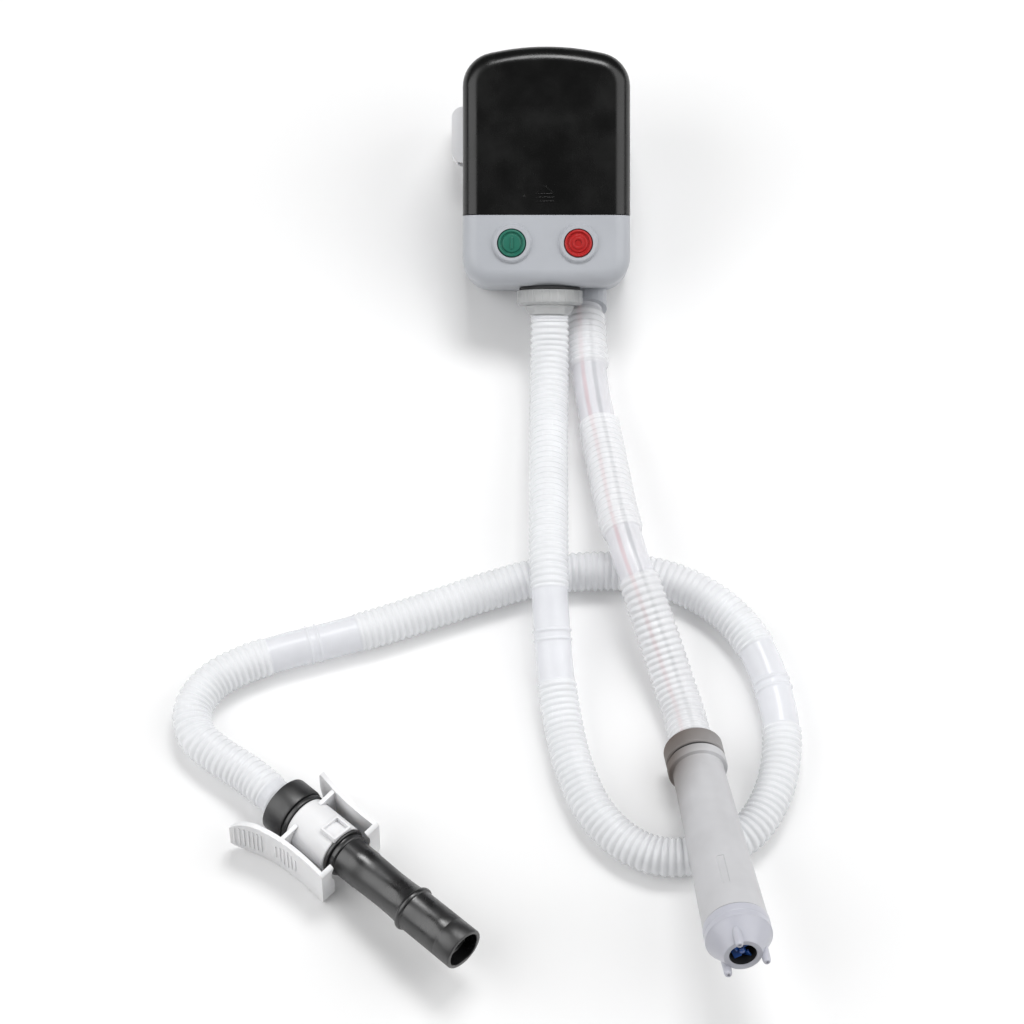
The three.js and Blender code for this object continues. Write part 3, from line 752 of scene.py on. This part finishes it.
def sleeve(points: Sequence[Vector], radii: Sequence[float], tones: Sequence[float], sides: int,
           name: str) -> bpy.types.Object:
    """Bends a grid round a centreline to make an open tube.

    Args:
        points: the centres of its rings in metres.
        radii: the radius of each ring in metres.
        tones: the attribute tone of each ring.
        sides: number of points in a ring.
        name: the object's name.

    Returns:
        The tube as an object.
    """
    count = len(points)
    tangents = [(points[min(i + 1, count - 1)] - points[max(i - 1, 0)]).normalized() for i in range(count)]
    side = tangents[0].cross(Vector((0, 0, 1))).normalized()
    sideways = []
    for tangent in tangents:
        side = (side - tangent * side.dot(tangent)).normalized()
        sideways.append(side)
    grid = bmesh.new()
    tone = grid.verts.layers.float.new("tone")
    bmesh.ops.create_grid(grid, x_segments=count - 1, y_segments=sides, size=1)
    for vertex in grid.verts:
        i = round((vertex.co.x + 1) / 2 * (count - 1))
        angle = TURN * round((vertex.co.y + 1) / 2 * sides) / sides
        out = sideways[i] * math.cos(angle) + tangents[i].cross(sideways[i]) * math.sin(angle)
        vertex.co = points[i] + out * radii[i]
        vertex[tone] = tones[i]
    bmesh.ops.remove_doubles(grid, verts=grid.verts, dist=1e-7)
    bmesh.ops.recalc_face_normals(grid, faces=grid.faces)
    mesh = bpy.data.meshes.new(name)
    grid.to_mesh(mesh)
    grid.free()
    made = bpy.data.objects.new(name, mesh)
    bpy.context.scene.collection.objects.link(made)
    return made


@dataclass
class Hose:
    """A corrugated hose with smooth cuffs moulded along it."""

    name: str
    node: str
    route: list[Point]
    radius: float
    cuffs: list[tuple[float, float]]
    smooth_drop: float = 0.8
    ringed: bool = True
    pitch: float = 3.56
    ridge: float = 0.95
    sides: int = 28
    per_pitch: int = 8
    fade: float = 1.2

    def cuff(self, along: float) -> float:
        """Gives 1 on a smooth cuff and 0 on the corrugated stretch.

        Args:
            along: millimetres along the hose.

        Returns:
            A share from 0 to 1.
        """
        best = 0.0
        for low, high in self.cuffs:
            inside = min(along - low, high - along)
            best = max(best, min(1.0, max(0.0, 0.5 + inside / self.fade)))
        return best

    def ring_pair(self, along: float) -> float:
        """Gives the height of the two thin rings in the middle of each cuff.

        Args:
            along: millimetres along the hose.

        Returns:
            Millimetres above the smooth cuff.
        """
        height = 0.0
        for low, high in self.cuffs if self.ringed else []:
            middle = (low + high) / 2
            for offset in (-2.4, 2.4):
                near = abs(along - middle - offset)
                height = max(height, 0.75 * max(0.0, 1 - near / 1.0))
        return height

    def profile(self, along: float) -> float:
        """Gives the outside radius at a distance along, in millimetres.

        Args:
            along: millimetres along the hose.

        Returns:
            The radius.
        """
        wave = 0.5 - 0.5 * math.cos(TURN * along / self.pitch)
        rippled = self.radius - self.ridge * (1 - wave ** 0.55)
        smooth = self.radius - self.smooth_drop + self.ring_pair(along)
        share = self.cuff(along)
        return rippled * (1 - share) + smooth * share

    def build(self, maker: Maker, leads: Sequence[bpy.types.Object] = ()) -> bpy.types.Object:
        """Args:
            maker: what finishes and places the pieces.
            leads: the pieces inside the hose; not used.

        Returns:
            The hose.
        """
        points = Route(self.route).even(self.pitch * MM / self.per_pitch)
        total = length_of(points)
        reach = [total / MM * i / (len(points) - 1) for i in range(len(points))]
        radii = [self.profile(s) * MM for s in reach]
        tones = [self.cuff(s) for s in reach]
        made = sleeve(points, radii, tones, self.sides, self.name)
        maker.done(made, self.name, Matrix(), Body.PUMP, "hose", [self.node], edge=0, angle=80)
        LOG.info("%s is %.0f mm long", self.name, total / MM)
        return made


DISCHARGE_ROUTE: list[Point] = [
    (19.9, 100.39, 31.9), (19.9, 95.2, 29.1), (19.9, 84.8, 24.6), (19.7, 66, 21), (19.3, 44, 20.8),
    (19, 18, 24), (19, -12, 29), (19, -42, 31.2), (19.6, -66, 28.5), (21, -88, 21.5), (23, -108, 14.8),
    (26.5, -131, 10.9), (32, -155, 10.2), (43, -180, 10.2), (58, -196, 10.2), (75, -203.5, 10.2),
    (97, -202, 10.2), (118, -191.5, 10.2), (132, -170, 10.2), (138, -140, 10.2), (134, -109, 10.2),
    (123, -80, 10.2), (106, -60, 10.2), (84, -47, 10.2), (59, -41, 10.2), (33, -41, 10.2),
    (10, -45, 10.2), (-12, -52, 10.2), (-40, -62.5, 10.2), (-66, -72, 10.2), (-91, -80, 10.2),
    (-116, -87, 10.2), (-138, -95, 10.2), (-155, -106, 10.2), (-163.5, -121, 10.2),
    (-161, -136, 10.6), (-149.5, -147.5, 11.5), (-134.2, -159, 12.9), (-124.8, -168, 14.6),
    (-120.2, -172.6, 15.3), (-116.4, -176.2, 15.95),
]
SUCTION_ROUTE: list[Point] = [
    (38.8, 114.39, 14.6), (38.8, 106, 14.6), (39.3, 94.5, 14.4), (40.5, 78, 14.2), (43, 58, 15.2),
    (47, 34, 18.8), (50.5, 10, 24), (54.5, -16, 29.8), (60.5, -42, 32.4), (66.5, -60, 30.2),
    (73.2, -79, 23.6),
    (79.6, -97, 16.4), (84.2, -111, 12.5), (87.6, -122, 11.3), (89.7, -132, 11.7),
    (91.42, -140.9, 13.28), (91.97, -144.42, 14.54),
]


@dataclass
class Hoses:
    """Both hoses and the two motor leads inside the suction hose."""

    lead_radius: float = 1.1
    lead_offset: float = 3.0
    lead_start: Point = (38.8, 122.0, 14.6)
    lead_end: Point = (96.1, -171.4, 24.7)

    def lead(self, maker: Maker, color: str, sign: int) -> bpy.types.Object:
        """Makes one motor lead.

        Args:
            maker: what finishes and places the pieces.
            color: the lead's colour.
            sign: the side that it runs on.

        Returns:
            The lead.
        """
        route = [self.lead_start, *SUCTION_ROUTE, self.lead_end]
        points = Route(route, (sign * self.lead_offset, 0.0, 0.0)).even(2.0 * MM)
        radii = [self.lead_radius * MM] * len(points)
        made = sleeve(points, radii, [0.0] * len(points), 12, f"fine_lead_{color}")
        return maker.done(made, f"fine_lead_{color}", Matrix(), Body.PUMP, f"lead_{color}",
                          [f"motor_lead_{color}"], edge=0, angle=80)

    def build(self, maker: Maker) -> None:
        """Makes the leads, then the hoses.

        Args:
            maker: what finishes and places the pieces.
        """
        leads = [self.lead(maker, "red", -1), self.lead(maker, "black", 1)]
        Hose("fine_discharge_hose", "discharge_hose", DISCHARGE_ROUTE, 10.2,
             [(-5, 2), (165, 213), (441, 489), (717, 765), (884, 900)]).build(maker)
        Hose("fine_suction_hose", "suction_hose", SUCTION_ROUTE, 11.0,
             [(-5, 3), (36, 72), (147, 174), (266, 300)], smooth_drop=1.7, ringed=False).build(maker, leads)


# ---------------------------------------------------------------- battery head
@dataclass
class Head:
    """The two shells, the battery cover with its slide mark, the buttons and the holder loop."""

    width: float = 88.0
    height: float = 126.0
    depth: float = 66.0
    shoulder_turn: float = 77.0
    top_radius: float = 18.0
    bottom_radius: float = 15.0
    edge_round: float = 8.5
    wall: float = 2.2
    split: float = 33.2
    cover_low: float = 37.0
    gap: float = 0.15
    button_y: float = 22.0
    on_x: float = -18.3
    off_x: float = 16.7

    def block(self) -> Work:
        """Makes the whole rounded head as one solid.

        Returns:
            The solid.
        """
        w, rt, rb = self.width / 2, self.top_radius, self.bottom_radius
        turn = math.radians(self.shoulder_turn)
        end_x = w - rt + rt * math.cos(turn)
        center = self.height - rt * math.sin(turn) - end_x / math.tan(turn) / 2
        end_y = center + rt * math.sin(turn)
        outline = arc((w - rb, rb), rb, -90, 0) + arc((w - rt, center), rt, 0, self.shoulder_turn)
        outline += bow((end_x, end_y), (0, end_y + end_x / math.tan(turn)), (-end_x, end_y), 14)[1:-1]
        outline += arc((-w + rt, center), rt, 180 - self.shoulder_turn, 180)
        outline += arc((-w + rb, rb), rb, 180, 270)
        return Work().slab(outline, 0, self.depth, self.edge_round)

    def shells(self, maker: Maker) -> None:
        """Makes the rear housing, the front panel and the battery cover.

        Args:
            maker: what finishes and places the pieces.
        """
        split, seam = self.split, self.cover_low
        rear = maker.walled(self.block().kept((0, 0, -1), (0, 0, split - self.gap)).loose("rear"), self.wall)
        bosses, recesses = Work(), Work()
        for x in (-32, 32):
            for y in (46, 110):
                at = Matrix.Translation((x, y, 0))
                bosses.rod(5.2, 1.2, 14, at)
                recesses.rod(3.6, -1, 6, at).rod(1.8, 5, 15, at)
        lean = Matrix.Rotation(-HEAD_LEAN, 4, "X")
        pipe = Matrix.Translation((20.7, 0, 16.6 / math.cos(HEAD_LEAN))) @ lean @ UPRIGHT
        recesses.rod(11.9, -8, 30, pipe, 64)
        worked(rear, bosses, Cut.JOIN)
        worked(rear, recesses, Cut.REMOVE)
        maker.done(rear, "fine_rear_housing", HEAD_PLACE, Body.PUMP, "body", ["rear_housing"], edge=0.3)

        above = (0, 0, split + self.gap)
        front = self.block().kept((0, 0, 1), above).kept((0, -1, 0), (0, seam - self.gap, 0))
        panel = maker.walled(front.loose("front"), self.wall)
        collars, holes = Work(), Work()
        for x in (self.on_x, self.off_x):
            at = Matrix.Translation((x, self.button_y, 0)) @ UPRIGHT
            collars.turned([(0, 64.2), (10.6, 64.2), (10.6, 66.2), (10.1, 66.6), (9.9, 67.4), (9.2, 68),
                            (0, 68), (0, 64.2)], at)
            holes.rod(7.7, 55, 75, Matrix.Translation((x, self.button_y, 0)), 64)
        holes.rod(8.4, -8, 5, Matrix.Translation(OUTLET_AT) @ UPRIGHT, 64)
        worked(panel, collars, Cut.JOIN)
        worked(panel, holes, Cut.REMOVE)
        maker.done(panel, "fine_front_panel", HEAD_PLACE, Body.PUMP, "body", ["front_panel"], edge=0.3)

        upper = self.block().kept((0, 0, 1), above).kept((0, 1, 0), (0, seam + self.gap, 0))
        cover = maker.walled(upper.loose("cover"), self.wall)
        maker.done(cover, "fine_battery_cover", HEAD_PLACE, Body.COVER, "cover", ["battery_cover"], edge=0.35)

    def slide_mark(self, maker: Maker) -> None:
        """Raises the triangle and the two bars that show which way the cover slides.

        Args:
            maker: what finishes and places the pieces.
        """
        mark = Work()
        top = self.depth
        for x in (-1, 1):
            slant = Matrix.Translation((-0.8, 52.4, 0)) @ Matrix.Rotation(x * math.radians(45.5), 4, "Z")
            mark.block((-0.38, -6.4, top - 0.2), (0.38, 0, top + 0.5), 0.15, slant)
        mark.block((-5.3, 47.6, top - 0.2), (3.7, 48.2, top + 0.3))
        for y in (46.0, 43.9):
            mark.block((-5.5, y - 0.4, top - 0.2), (3.9, y + 0.4, top + 0.3))
        mark.rod(0.6, top - 0.2, top + 0.25, Matrix.Translation((-11.7, 46.7, 0)), 24)
        maker.done(mark, "fine_slide_mark", HEAD_PLACE, Body.COVER, "cover", edge=0.12)

    def buttons(self, maker: Maker) -> None:
        """Makes both buttons with a ring groove and a plain line or circle on top.

        Args:
            maker: what finishes and places the pieces.
        """
        cap = [(0, 62.4), (8.8, 62.4), (8.8, 63.3), (7.3, 63.3), (7.3, 67.5), (6.9, 68.2), (6.2, 68.3),
               (5.8, 67.9), (5.6, 67.2), (5.1, 67.2), (4.9, 67.7), (4.5, 68.0), (0, 68.1), (0, 62.4)]
        on_at = Matrix.Translation((self.on_x, self.button_y, 0))
        start = Work().turned(cap, on_at @ UPRIGHT).block((-0.65, -3.0, 67.9), (0.65, 3.0, 68.75), 0.2, on_at)
        maker.done(start, "fine_on_button", HEAD_PLACE, Body.START, "green", ["on_button"], edge=0.1)
        off_at = Matrix.Translation((self.off_x, self.button_y, 0)) @ UPRIGHT
        stop = Work().turned(cap, off_at).ring(1.9, 3.1, 67.9, 68.75, off_at)
        maker.done(stop, "fine_off_button", HEAD_PLACE, Body.STOP, "red", ["off_button"], edge=0.1)

    def holder(self, maker: Maker) -> None:
        """Makes the open loop on the back that holds the nozzle when it is put away.

        Args:
            maker: what finishes and places the pieces.
        """
        left, right, low, high, back, wall, r = -50.5, -14, 69, 99, -34.32, 3.0, 12

        def loop(inset: float, top: float) -> list:
            """Gives the loop's outline, set in by inset and open above top.

            Args:
                inset: how far it is set in.
                top: where it stays open.

            Returns:
                The points.
            """
            ri = r - inset
            return ([(right - inset, top), (left + inset, top)] + arc((left + r, back + r), ri, 180, 270)
                    + arc((right - r, back + r), ri, -90, 0))

        flat = Matrix(((1, 0, 0, 0), (0, 0, 1, 0), (0, 1, 0, 0), (0, 0, 0, 1)))
        ring = Work().slab(loop(0, -0.3), low, high, at=flat)
        bmesh.ops.recalc_face_normals(ring.shape, faces=ring.shape.faces)
        hollow = Work().slab(loop(wall, -0.3 - wall), low - 5, high + 5, at=flat)
        bmesh.ops.recalc_face_normals(hollow.shape, faces=hollow.shape.faces)
        body = ring.loose("holder")
        worked(body, hollow, Cut.REMOVE)
        corner = arc((left + 6, low + 6), 6, 180, 270) + [(7, low), (7, high)]
        corner += arc((left + 6, high - 6), 6, 90, 180)
        worked(body, Work().slab(corner, -60, 10), Cut.KEEP)
        maker.done(body, "fine_nozzle_holder", HEAD_PLACE, Body.PUMP, "white", ["nozzle_holder"], edge=0.7)

    def build(self, maker: Maker) -> None:
        """Makes every piece of the head and dresses its inner nodes.

        Args:
            maker: what finishes and places the pieces.
        """
        self.shells(maker)
        self.slide_mark(maker)
        self.buttons(maker)
        self.holder(maker)
        maker.dress("white", "battery_tray", "flow_manifold")
        maker.dress("cell_jacket", "battery_cell_left", "battery_cell_right")
        maker.dress("steel", "battery_spring_left", "battery_spring_right", "contact_plate_left",
                    "contact_plate_right", "contact_plate_bridge",
                    *(f"housing_screw_{i}" for i in range(1, 5)))
        maker.dress("board", "switch_board")
        maker.dress("rubber", "on_switch", "off_switch", "outlet_gasket")
        maker.dress("body", "suction_socket")


# ---------------------------------------------------------------- outlet
@dataclass
class Outlet:
    """The washer, the frosted union nut and the flared cuff under the head."""

    nut_radius: float = 17.3
    nut_top: float = -1.9
    nut_end: float = -9.7
    grips: int = 24

    def build(self, maker: Maker) -> None:
        """Makes the three rings.

        Args:
            maker: what finishes and places the pieces.
        """
        where = HEAD_PLACE @ Matrix.Translation(OUTLET_AT)
        washer = Work().ring(8.5, 16, -1.6, -0.3)
        maker.done(washer, "fine_outlet_washer", where, Body.PUMP, "rubber", ["outlet_washer"], edge=0.3)
        top, end, r = self.nut_top, self.nut_end, self.nut_radius
        nut = Work().turned([
            (13.2, top), (r - 0.4, top), (r, top - 0.4), (r, end + 1.2), (r - 1.2, end), (9.5, end),
            (9.5, end + 2), (13.2, end + 2), (13.2, top)], steps=96).loose("nut")
        flutes = Work()
        for i in range(self.grips):
            a = TURN * i / self.grips
            at = Matrix.Translation(((r + 0.95) * math.cos(a), 0, (r + 0.95) * math.sin(a)))
            flutes.rod(1.25, -top - 1.0, -end + 1, at @ UPRIGHT, 16)
        worked(nut, flutes, Cut.REMOVE)
        maker.done(nut, "fine_outlet_nut", where, Body.NUT, "frosted", ["outlet_nut"], edge=0.2)
        cuff = Work().turned([
            (8.3, -4), (9.1, -4), (9.1, -9.9), (12.8, -10), (13.0, -10.5), (12.8, -11.6), (11.4, -13.2),
            (10.7, -14.7), (8.3, -14.7), (8.3, -4)])
        maker.done(cuff, "fine_outlet_cuff", where, Body.PUMP, "frosted", ["outlet_cuff"], edge=0.2)


# ---------------------------------------------------------------- intake
@dataclass
class Intake:
    """The submersible intake: collar, barrel, cap with its pegs, and the impeller in the mouth."""

    collar: float = 15.2
    barrel_end: float = 128.6
    cone_start: float = 137.3
    tip: float = 149.1
    mouth: float = 6.9
    peg_angles: tuple[float, ...] = (100, 225, 345)

    def tube(self, maker: Maker) -> None:
        """Makes the collar and the barrel with its slot.

        Args:
            maker: what finishes and places the pieces.
        """
        r = self.collar
        collar = Work().turned([
            (8.5, 0), (r - 1, 0), (r, 1), (r, 9.6), (r - 0.8, 10.4), (12.8, 10.4), (12.8, 2.2), (8.5, 2.2),
            (8.5, 0)])
        made = maker.done(collar, "fine_intake_collar", INTAKE_PLACE, Body.COLLAR, "taupe", ["intake_collar"])
        toned(made, INTAKE_PLACE, -14, 24, 1.0)
        maker.done(Work().ring(12.7, 14.2, 10.7, 11.9), "fine_collar_seal", INTAKE_PLACE, Body.PUMP, "rubber",
                   ["collar_seal"], edge=0.2)
        barrel = Work().turned([
            (10.6, 3), (12.4, 3), (12.4, 12.2), (14.9, 12.2), (15.3, 12.6), (15.3, 16.6), (14.8, 17.4),
            (13.2, 18), (13.1, 18.2), (13.47, 30), (13.95, 45), (14.74, 70), (16.6, self.barrel_end),
            (14.8, self.barrel_end), (11.3, 17.8), (10.6, 14.2), (10.6, 3),
        ], steps=96).loose("barrel")
        taper = Matrix.Rotation(math.radians(1.8), 4, "X")
        slot_turn = Matrix.Rotation(math.radians(6), 4, "Y") @ taper
        slot = Work().block((-1.9, 94, 11.95), (1.9, 114, 18), 0.4, slot_turn)
        worked(barrel, slot, Cut.REMOVE)
        made = maker.done(barrel, "fine_intake_barrel", INTAKE_PLACE, Body.PUMP, "barrel", ["intake_barrel"],
                          edge=0.2)
        toned(made, INTAKE_PLACE, -14, 30, 2.0)

    def nose(self, maker: Maker) -> None:
        """Makes the cap with its lip, cone, end ring and three pegs.

        Args:
            maker: what finishes and places the pieces.
        """
        end = self.barrel_end
        cap = Work().turned([
            (13.4, 123), (14.3, 123), (14.3, end + 0.3), (16.7, end + 0.3), (17, end + 0.8), (17, end + 4.4),
            (16.7, end + 4.9), (16.7, end + 5.4), (17, end + 5.9), (17, self.cone_start),
            (16.2, self.cone_start + 0.8),
            (10.8, self.tip - 2.2), (10.2, self.tip - 1.0), (9.6, self.tip), (self.mouth + 0.4, self.tip),
            (self.mouth, self.tip - 0.5), (self.mouth, 139), (13.4, 134), (13.4, 123)], steps=96)
        for degrees in self.peg_angles:
            a = math.radians(degrees)
            at = Matrix.Translation((-11.6 * math.cos(a), 0, 11.6 * math.sin(a)))
            cap.turned([(0, 139), (2.3, 139), (2.1, 151.4), (1.8, 152.6), (1.4, 153.2), (0.7, 153.3),
                        (0.6, 152.6), (0, 152.5), (0, 139)], at, 24)
        made = maker.done(cap, "fine_intake_cap", INTAKE_PLACE, Body.PUMP, "cap", ["intake_cap"], edge=0.15)
        # Painted shade: the inward faces inside the cap's skirt and mouth bore get the dark rubber material,
        # to stand for the shade inside the opening.
        made.data.materials.append(FINISHES["rubber"].material("rubber"))
        back = INTAKE_PLACE.inverted()
        for face in made.data.polygons:
            spot = back @ face.center
            reach = 13.6 if spot.y < 139.2 else self.mouth + 0.7
            inward = (back.to_3x3() @ face.normal).dot(Vector((spot.x, 0, spot.z))) < 0
            if inward and math.hypot(spot.x, spot.z) < reach and spot.y < self.tip - 1.0:
                face.material_index = 1

    def wheel(self, maker: Maker) -> None:
        """Makes the impeller: a hub and four twisted blades.

        Args:
            maker: what finishes and places the pieces.
        """
        hub = [(0, 139), (2.0, 139), (2.0, 145.6), (1.4, 146.5), (0, 146.8), (0, 139)]
        wheel = Work().turned(hub, steps=32)
        for i in range(4):
            around = Matrix.Rotation(math.radians(25) + i * math.pi / 2, 4, "Y")
            twist = Matrix.Rotation(math.radians(40), 4, "X")
            at = Matrix.Translation((0, 143.8, 0)) @ around @ twist
            wheel.block((1.4, -0.45, -3.4), (5.5, 0.45, 3.4), 0.25, at)
        maker.done(wheel, "fine_impeller", INTAKE_PLACE, Body.ROTOR, "blue", ["impeller"], edge=0.1)

    def build(self, maker: Maker) -> None:
        """Makes the intake and dresses its inner nodes.

        Args:
            maker: what finishes and places the pieces.
        """
        self.tube(maker)
        self.nose(maker)
        self.wheel(maker)
        maker.dress("steel", "motor_shaft")
        # The darker can finish is painted shade seen through the barrel's slot.
        maker.dress("can", "motor_can")
        maker.dress("rubber", "shaft_seal", "motor_bulkhead")


# ---------------------------------------------------------------- nozzle
@dataclass
class Nozzle:
    """The black collar, the lip ring, the clip sleeve with its frame and the long black nozzle."""

    bore: float = 8.6
    tip: float = 120.8
    fine_lines: int = 60

    def build(self, maker: Maker) -> None:
        """Makes every piece along the nozzle's axis.

        Args:
            maker: what finishes and places the pieces.
        """
        collar = Work().turned([
            (self.bore, -8), (14.0, -8), (15.0, -7.4), (15.2, -6.6), (15.2, 3.4), (14.8, 4.4), (14.0, 4.8),
            (9.7, 4.8), (9.7, -5), (self.bore, -5), (self.bore, -8)], steps=2 * self.fine_lines)
        for vertex in collar.shape.verts:
            across = math.hypot(vertex.co.x, vertex.co.z)
            line = round(math.atan2(vertex.co.z, vertex.co.x) / TURN * 2 * self.fine_lines) % 2
            if across > 15.1 and line:
                vertex.co.x *= 1 - 0.16 / across
                vertex.co.z *= 1 - 0.16 / across
        maker.done(collar, "fine_nozzle_collar", NOZZLE_PLACE, Body.PUMP, "black", ["nozzle_collar"],
                   edge=0.0)
        maker.done(Work().ring(9.7, 14.3, 5.1, 7.2), "fine_nozzle_lip_ring", NOZZLE_PLACE, Body.PUMP, "black",
                   ["nozzle_lip_ring"], edge=0.5)
        sleeve_ring = Work().turned([
            (9.7, 7.5), (12.9, 7.5), (13.4, 8.0), (13.4, 33.2), (12.8, 33.8), (9.7, 33.8), (9.7, 7.5)])
        maker.done(sleeve_ring, "fine_clip_sleeve", NOZZLE_PLACE, Body.PUMP, "white", ["clip_sleeve"],
                   edge=0.2)
        tab = Work().block((-6.0, 24.7, 11.9), (6.0, 35.0, 15.3), 0.5).loose("tab")
        worked(tab, Work().block((-4.9, 25.9, 10), (4.9, 33.8, 17), 0.3), Cut.REMOVE)
        rod = Work().rod(13.55, -40, -10, UPRIGHT, 96)
        worked(tab, rod, Cut.REMOVE)
        roll = Matrix.Rotation(-math.radians(10), 4, "Y")
        maker.done(tab, "fine_clip_lock_tab", NOZZLE_PLACE @ roll, Body.PUMP, "white", ["clip_lock_tab"],
                   edge=0.25)
        tip = self.tip
        tube = Work().turned([
            (self.bore, 34.1), (12.9, 34.1), (13.2, 34.5), (13.2, 35.6), (12.9, 36.0), (11.2, 36.1),
            (11.1, 36.6), (11.9, 37.0), (12.0, 38.6), (11.7, 39.0), (10.9, 39.3), (10.8, 46),
            (10.8, 51.6), (10.6, 52), (10.4, 60), (10.25, 68), (10.4, 76), (10.8, 82.4), (11.1, 83.2),
            (12.2, 83.9), (12.5, 84.6), (12.5, 85.4), (12.2, 86.1), (11.5, 86.5), (11.35, 87.2),
            (11.45, 104), (11.5, 109.3), (11.42, 109.5), (11.42, 109.8), (11.5, 110.0),
            (11.6, tip - 0.8), (11.3, tip - 0.2), (10.9, tip), (9.7, tip), (9.4, tip - 0.4),
            (9.4, tip - 7), (8.7, tip - 7.6), (8.7, tip - 9), (9.2, tip - 9.6), (self.bore, 60),
            (self.bore, 34.1),
        ], steps=96)
        maker.done(tube, "fine_nozzle_tube", NOZZLE_PLACE, Body.PUMP, "black", ["nozzle_tube"], edge=0)
        maker.dress("white", "nozzle_core")


@dataclass
class Clip:
    """The two spring levers that clamp the nozzle to a tank's edge."""

    low: float = -16.7
    high: float = 13.5
    front: float = 40.6
    thick: float = 2.4

    def web(self, sign: int) -> Work:
        """Makes the wall that carries a lever past the sleeve, in front of the collar."""
        xs = sorted((sign * 8, sign * 19.6))
        return Work().block((xs[0], 9.4, self.low + 2), (xs[1], 11.6, self.high - 1))

    def clearance(self) -> Work:
        """Makes the round space that the sleeve takes."""
        tilt = Matrix.Rotation(math.radians(NOZZLE_RISE), 4, "X")
        return Work().rod(13.7, -60, 20, tilt @ UPRIGHT, 96)

    def silhouette(self, rear: float, rear_radius: float) -> Work:
        """Makes the side outline of a lever, with its round rear end and softer front corners.

        Args:
            rear: where the rear end is.
            rear_radius: radius of the rear corners.

        Returns:
            A solid to keep the lever inside.
        """
        low, high, front = self.low, self.high, self.front + 0.5
        outline = (arc((rear + rear_radius, low + rear_radius), rear_radius, 180, 270)
                   + arc((front - 3, low + 3), 3, -90, 0) + arc((front - 3, high - 3), 3, 0, 90)
                   + arc((rear + rear_radius, high - rear_radius), rear_radius, 90, 180))
        stand = Matrix(((0, 0, 1, 0), (1, 0, 0, 0), (0, 1, 0, 0), (0, 0, 0, 1)))
        return Work().slab(outline, -60, 60, at=stand)

    def ribs(self, work: Work) -> Work:
        """Adds the finger ribs: a row at the rear end and a lens-shaped group in the middle.

        Args:
            work: the solid that they are added to.

        Returns:
            The solid with its ribs.
        """
        outer = bow((31.2, -14.8), (17.6, 1), (20.6, self.front), 200)
        middle = (self.low + self.high) / 2
        groups = [(-13.0, 7, 2.15, lambda k: 9.5),
                  (8.4, 6, 2.5, lambda k: 3.5 + 5.5 * math.sin(math.pi * (k + 1) / 7))]
        for first, count, gap, half in groups:
            for k in range(count):
                y = first + gap * k
                a, b = min(zip(outer, outer[1:]), key=lambda pair: abs(pair[0][1] - y))
                angle = math.atan2(b[0] - a[0], b[1] - a[1])
                at = Matrix.Translation((a[0], a[1], middle)) @ Matrix.Rotation(-angle, 4, "Z")
                work.block((-0.7, -0.45, -half(k)), (0.55, 0.45, half(k)), 0.3, at)
        return work

    def build(self, maker: Maker) -> None:
        """Makes both levers.

        Args:
            maker: what finishes and places the pieces.
        """
        front, thick = self.front, self.thick
        left = (bow((31.2, -14.8), (17.6, 1), (20.6, front), 24) + [(12.2, front), (12.2, front - thick)]
                + bow((18.2, front - thick), (15.2, 0), (29.2, -16.4), 24))
        lever = Work().slab(left, self.low, self.high).loose("left")
        worked(lever, self.web(1), Cut.JOIN)
        worked(lever, self.clearance(), Cut.REMOVE)
        worked(lever, self.silhouette(-16.2, 12), Cut.KEEP)
        maker.done(lever, "fine_clip_lever_left", CLIP_PLACE, Body.LEFT, "white", ["clip_lever_left"],
                   edge=0.5)
        maker.done(self.ribs(Work()), "fine_clip_ribs", CLIP_PLACE, Body.LEFT, "white", edge=0)
        right = (bow((-24.5, -3), (-18.6, 6), (-20.6, front), 24) + [(-12.2, front), (-12.2, front - thick)]
                 + bow((-18.2, front - thick), (-16.2, 6), (-22.3, -4.2), 24))
        lever = Work().slab(right, self.low, self.high).loose("right")
        worked(lever, self.web(-1), Cut.JOIN)
        worked(lever, self.clearance(), Cut.REMOVE)
        worked(lever, self.silhouette(-4.0, 12), Cut.KEEP)
        maker.done(lever, "fine_clip_lever_right", CLIP_PLACE, Body.RIGHT, "white", ["clip_lever_right"],
                   edge=0.5)


def main() -> None:
    """Builds the pump in order and reports each piece."""
    logging.basicConfig(level=logging.INFO, format="%(message)s")
    studio = Studio()
    studio.camera()
    maker = Maker()
    for assembly in (Hoses(), Head(), Outlet(), Intake(), Nozzle(), Clip()):
        assembly.build(maker)
    studio.lights()
    studio.ground()
    for piece in maker.made:
        LOG.info("%s: %d faces", piece.name, len(piece.data.polygons))


if __name__ == "__main__":
    main()
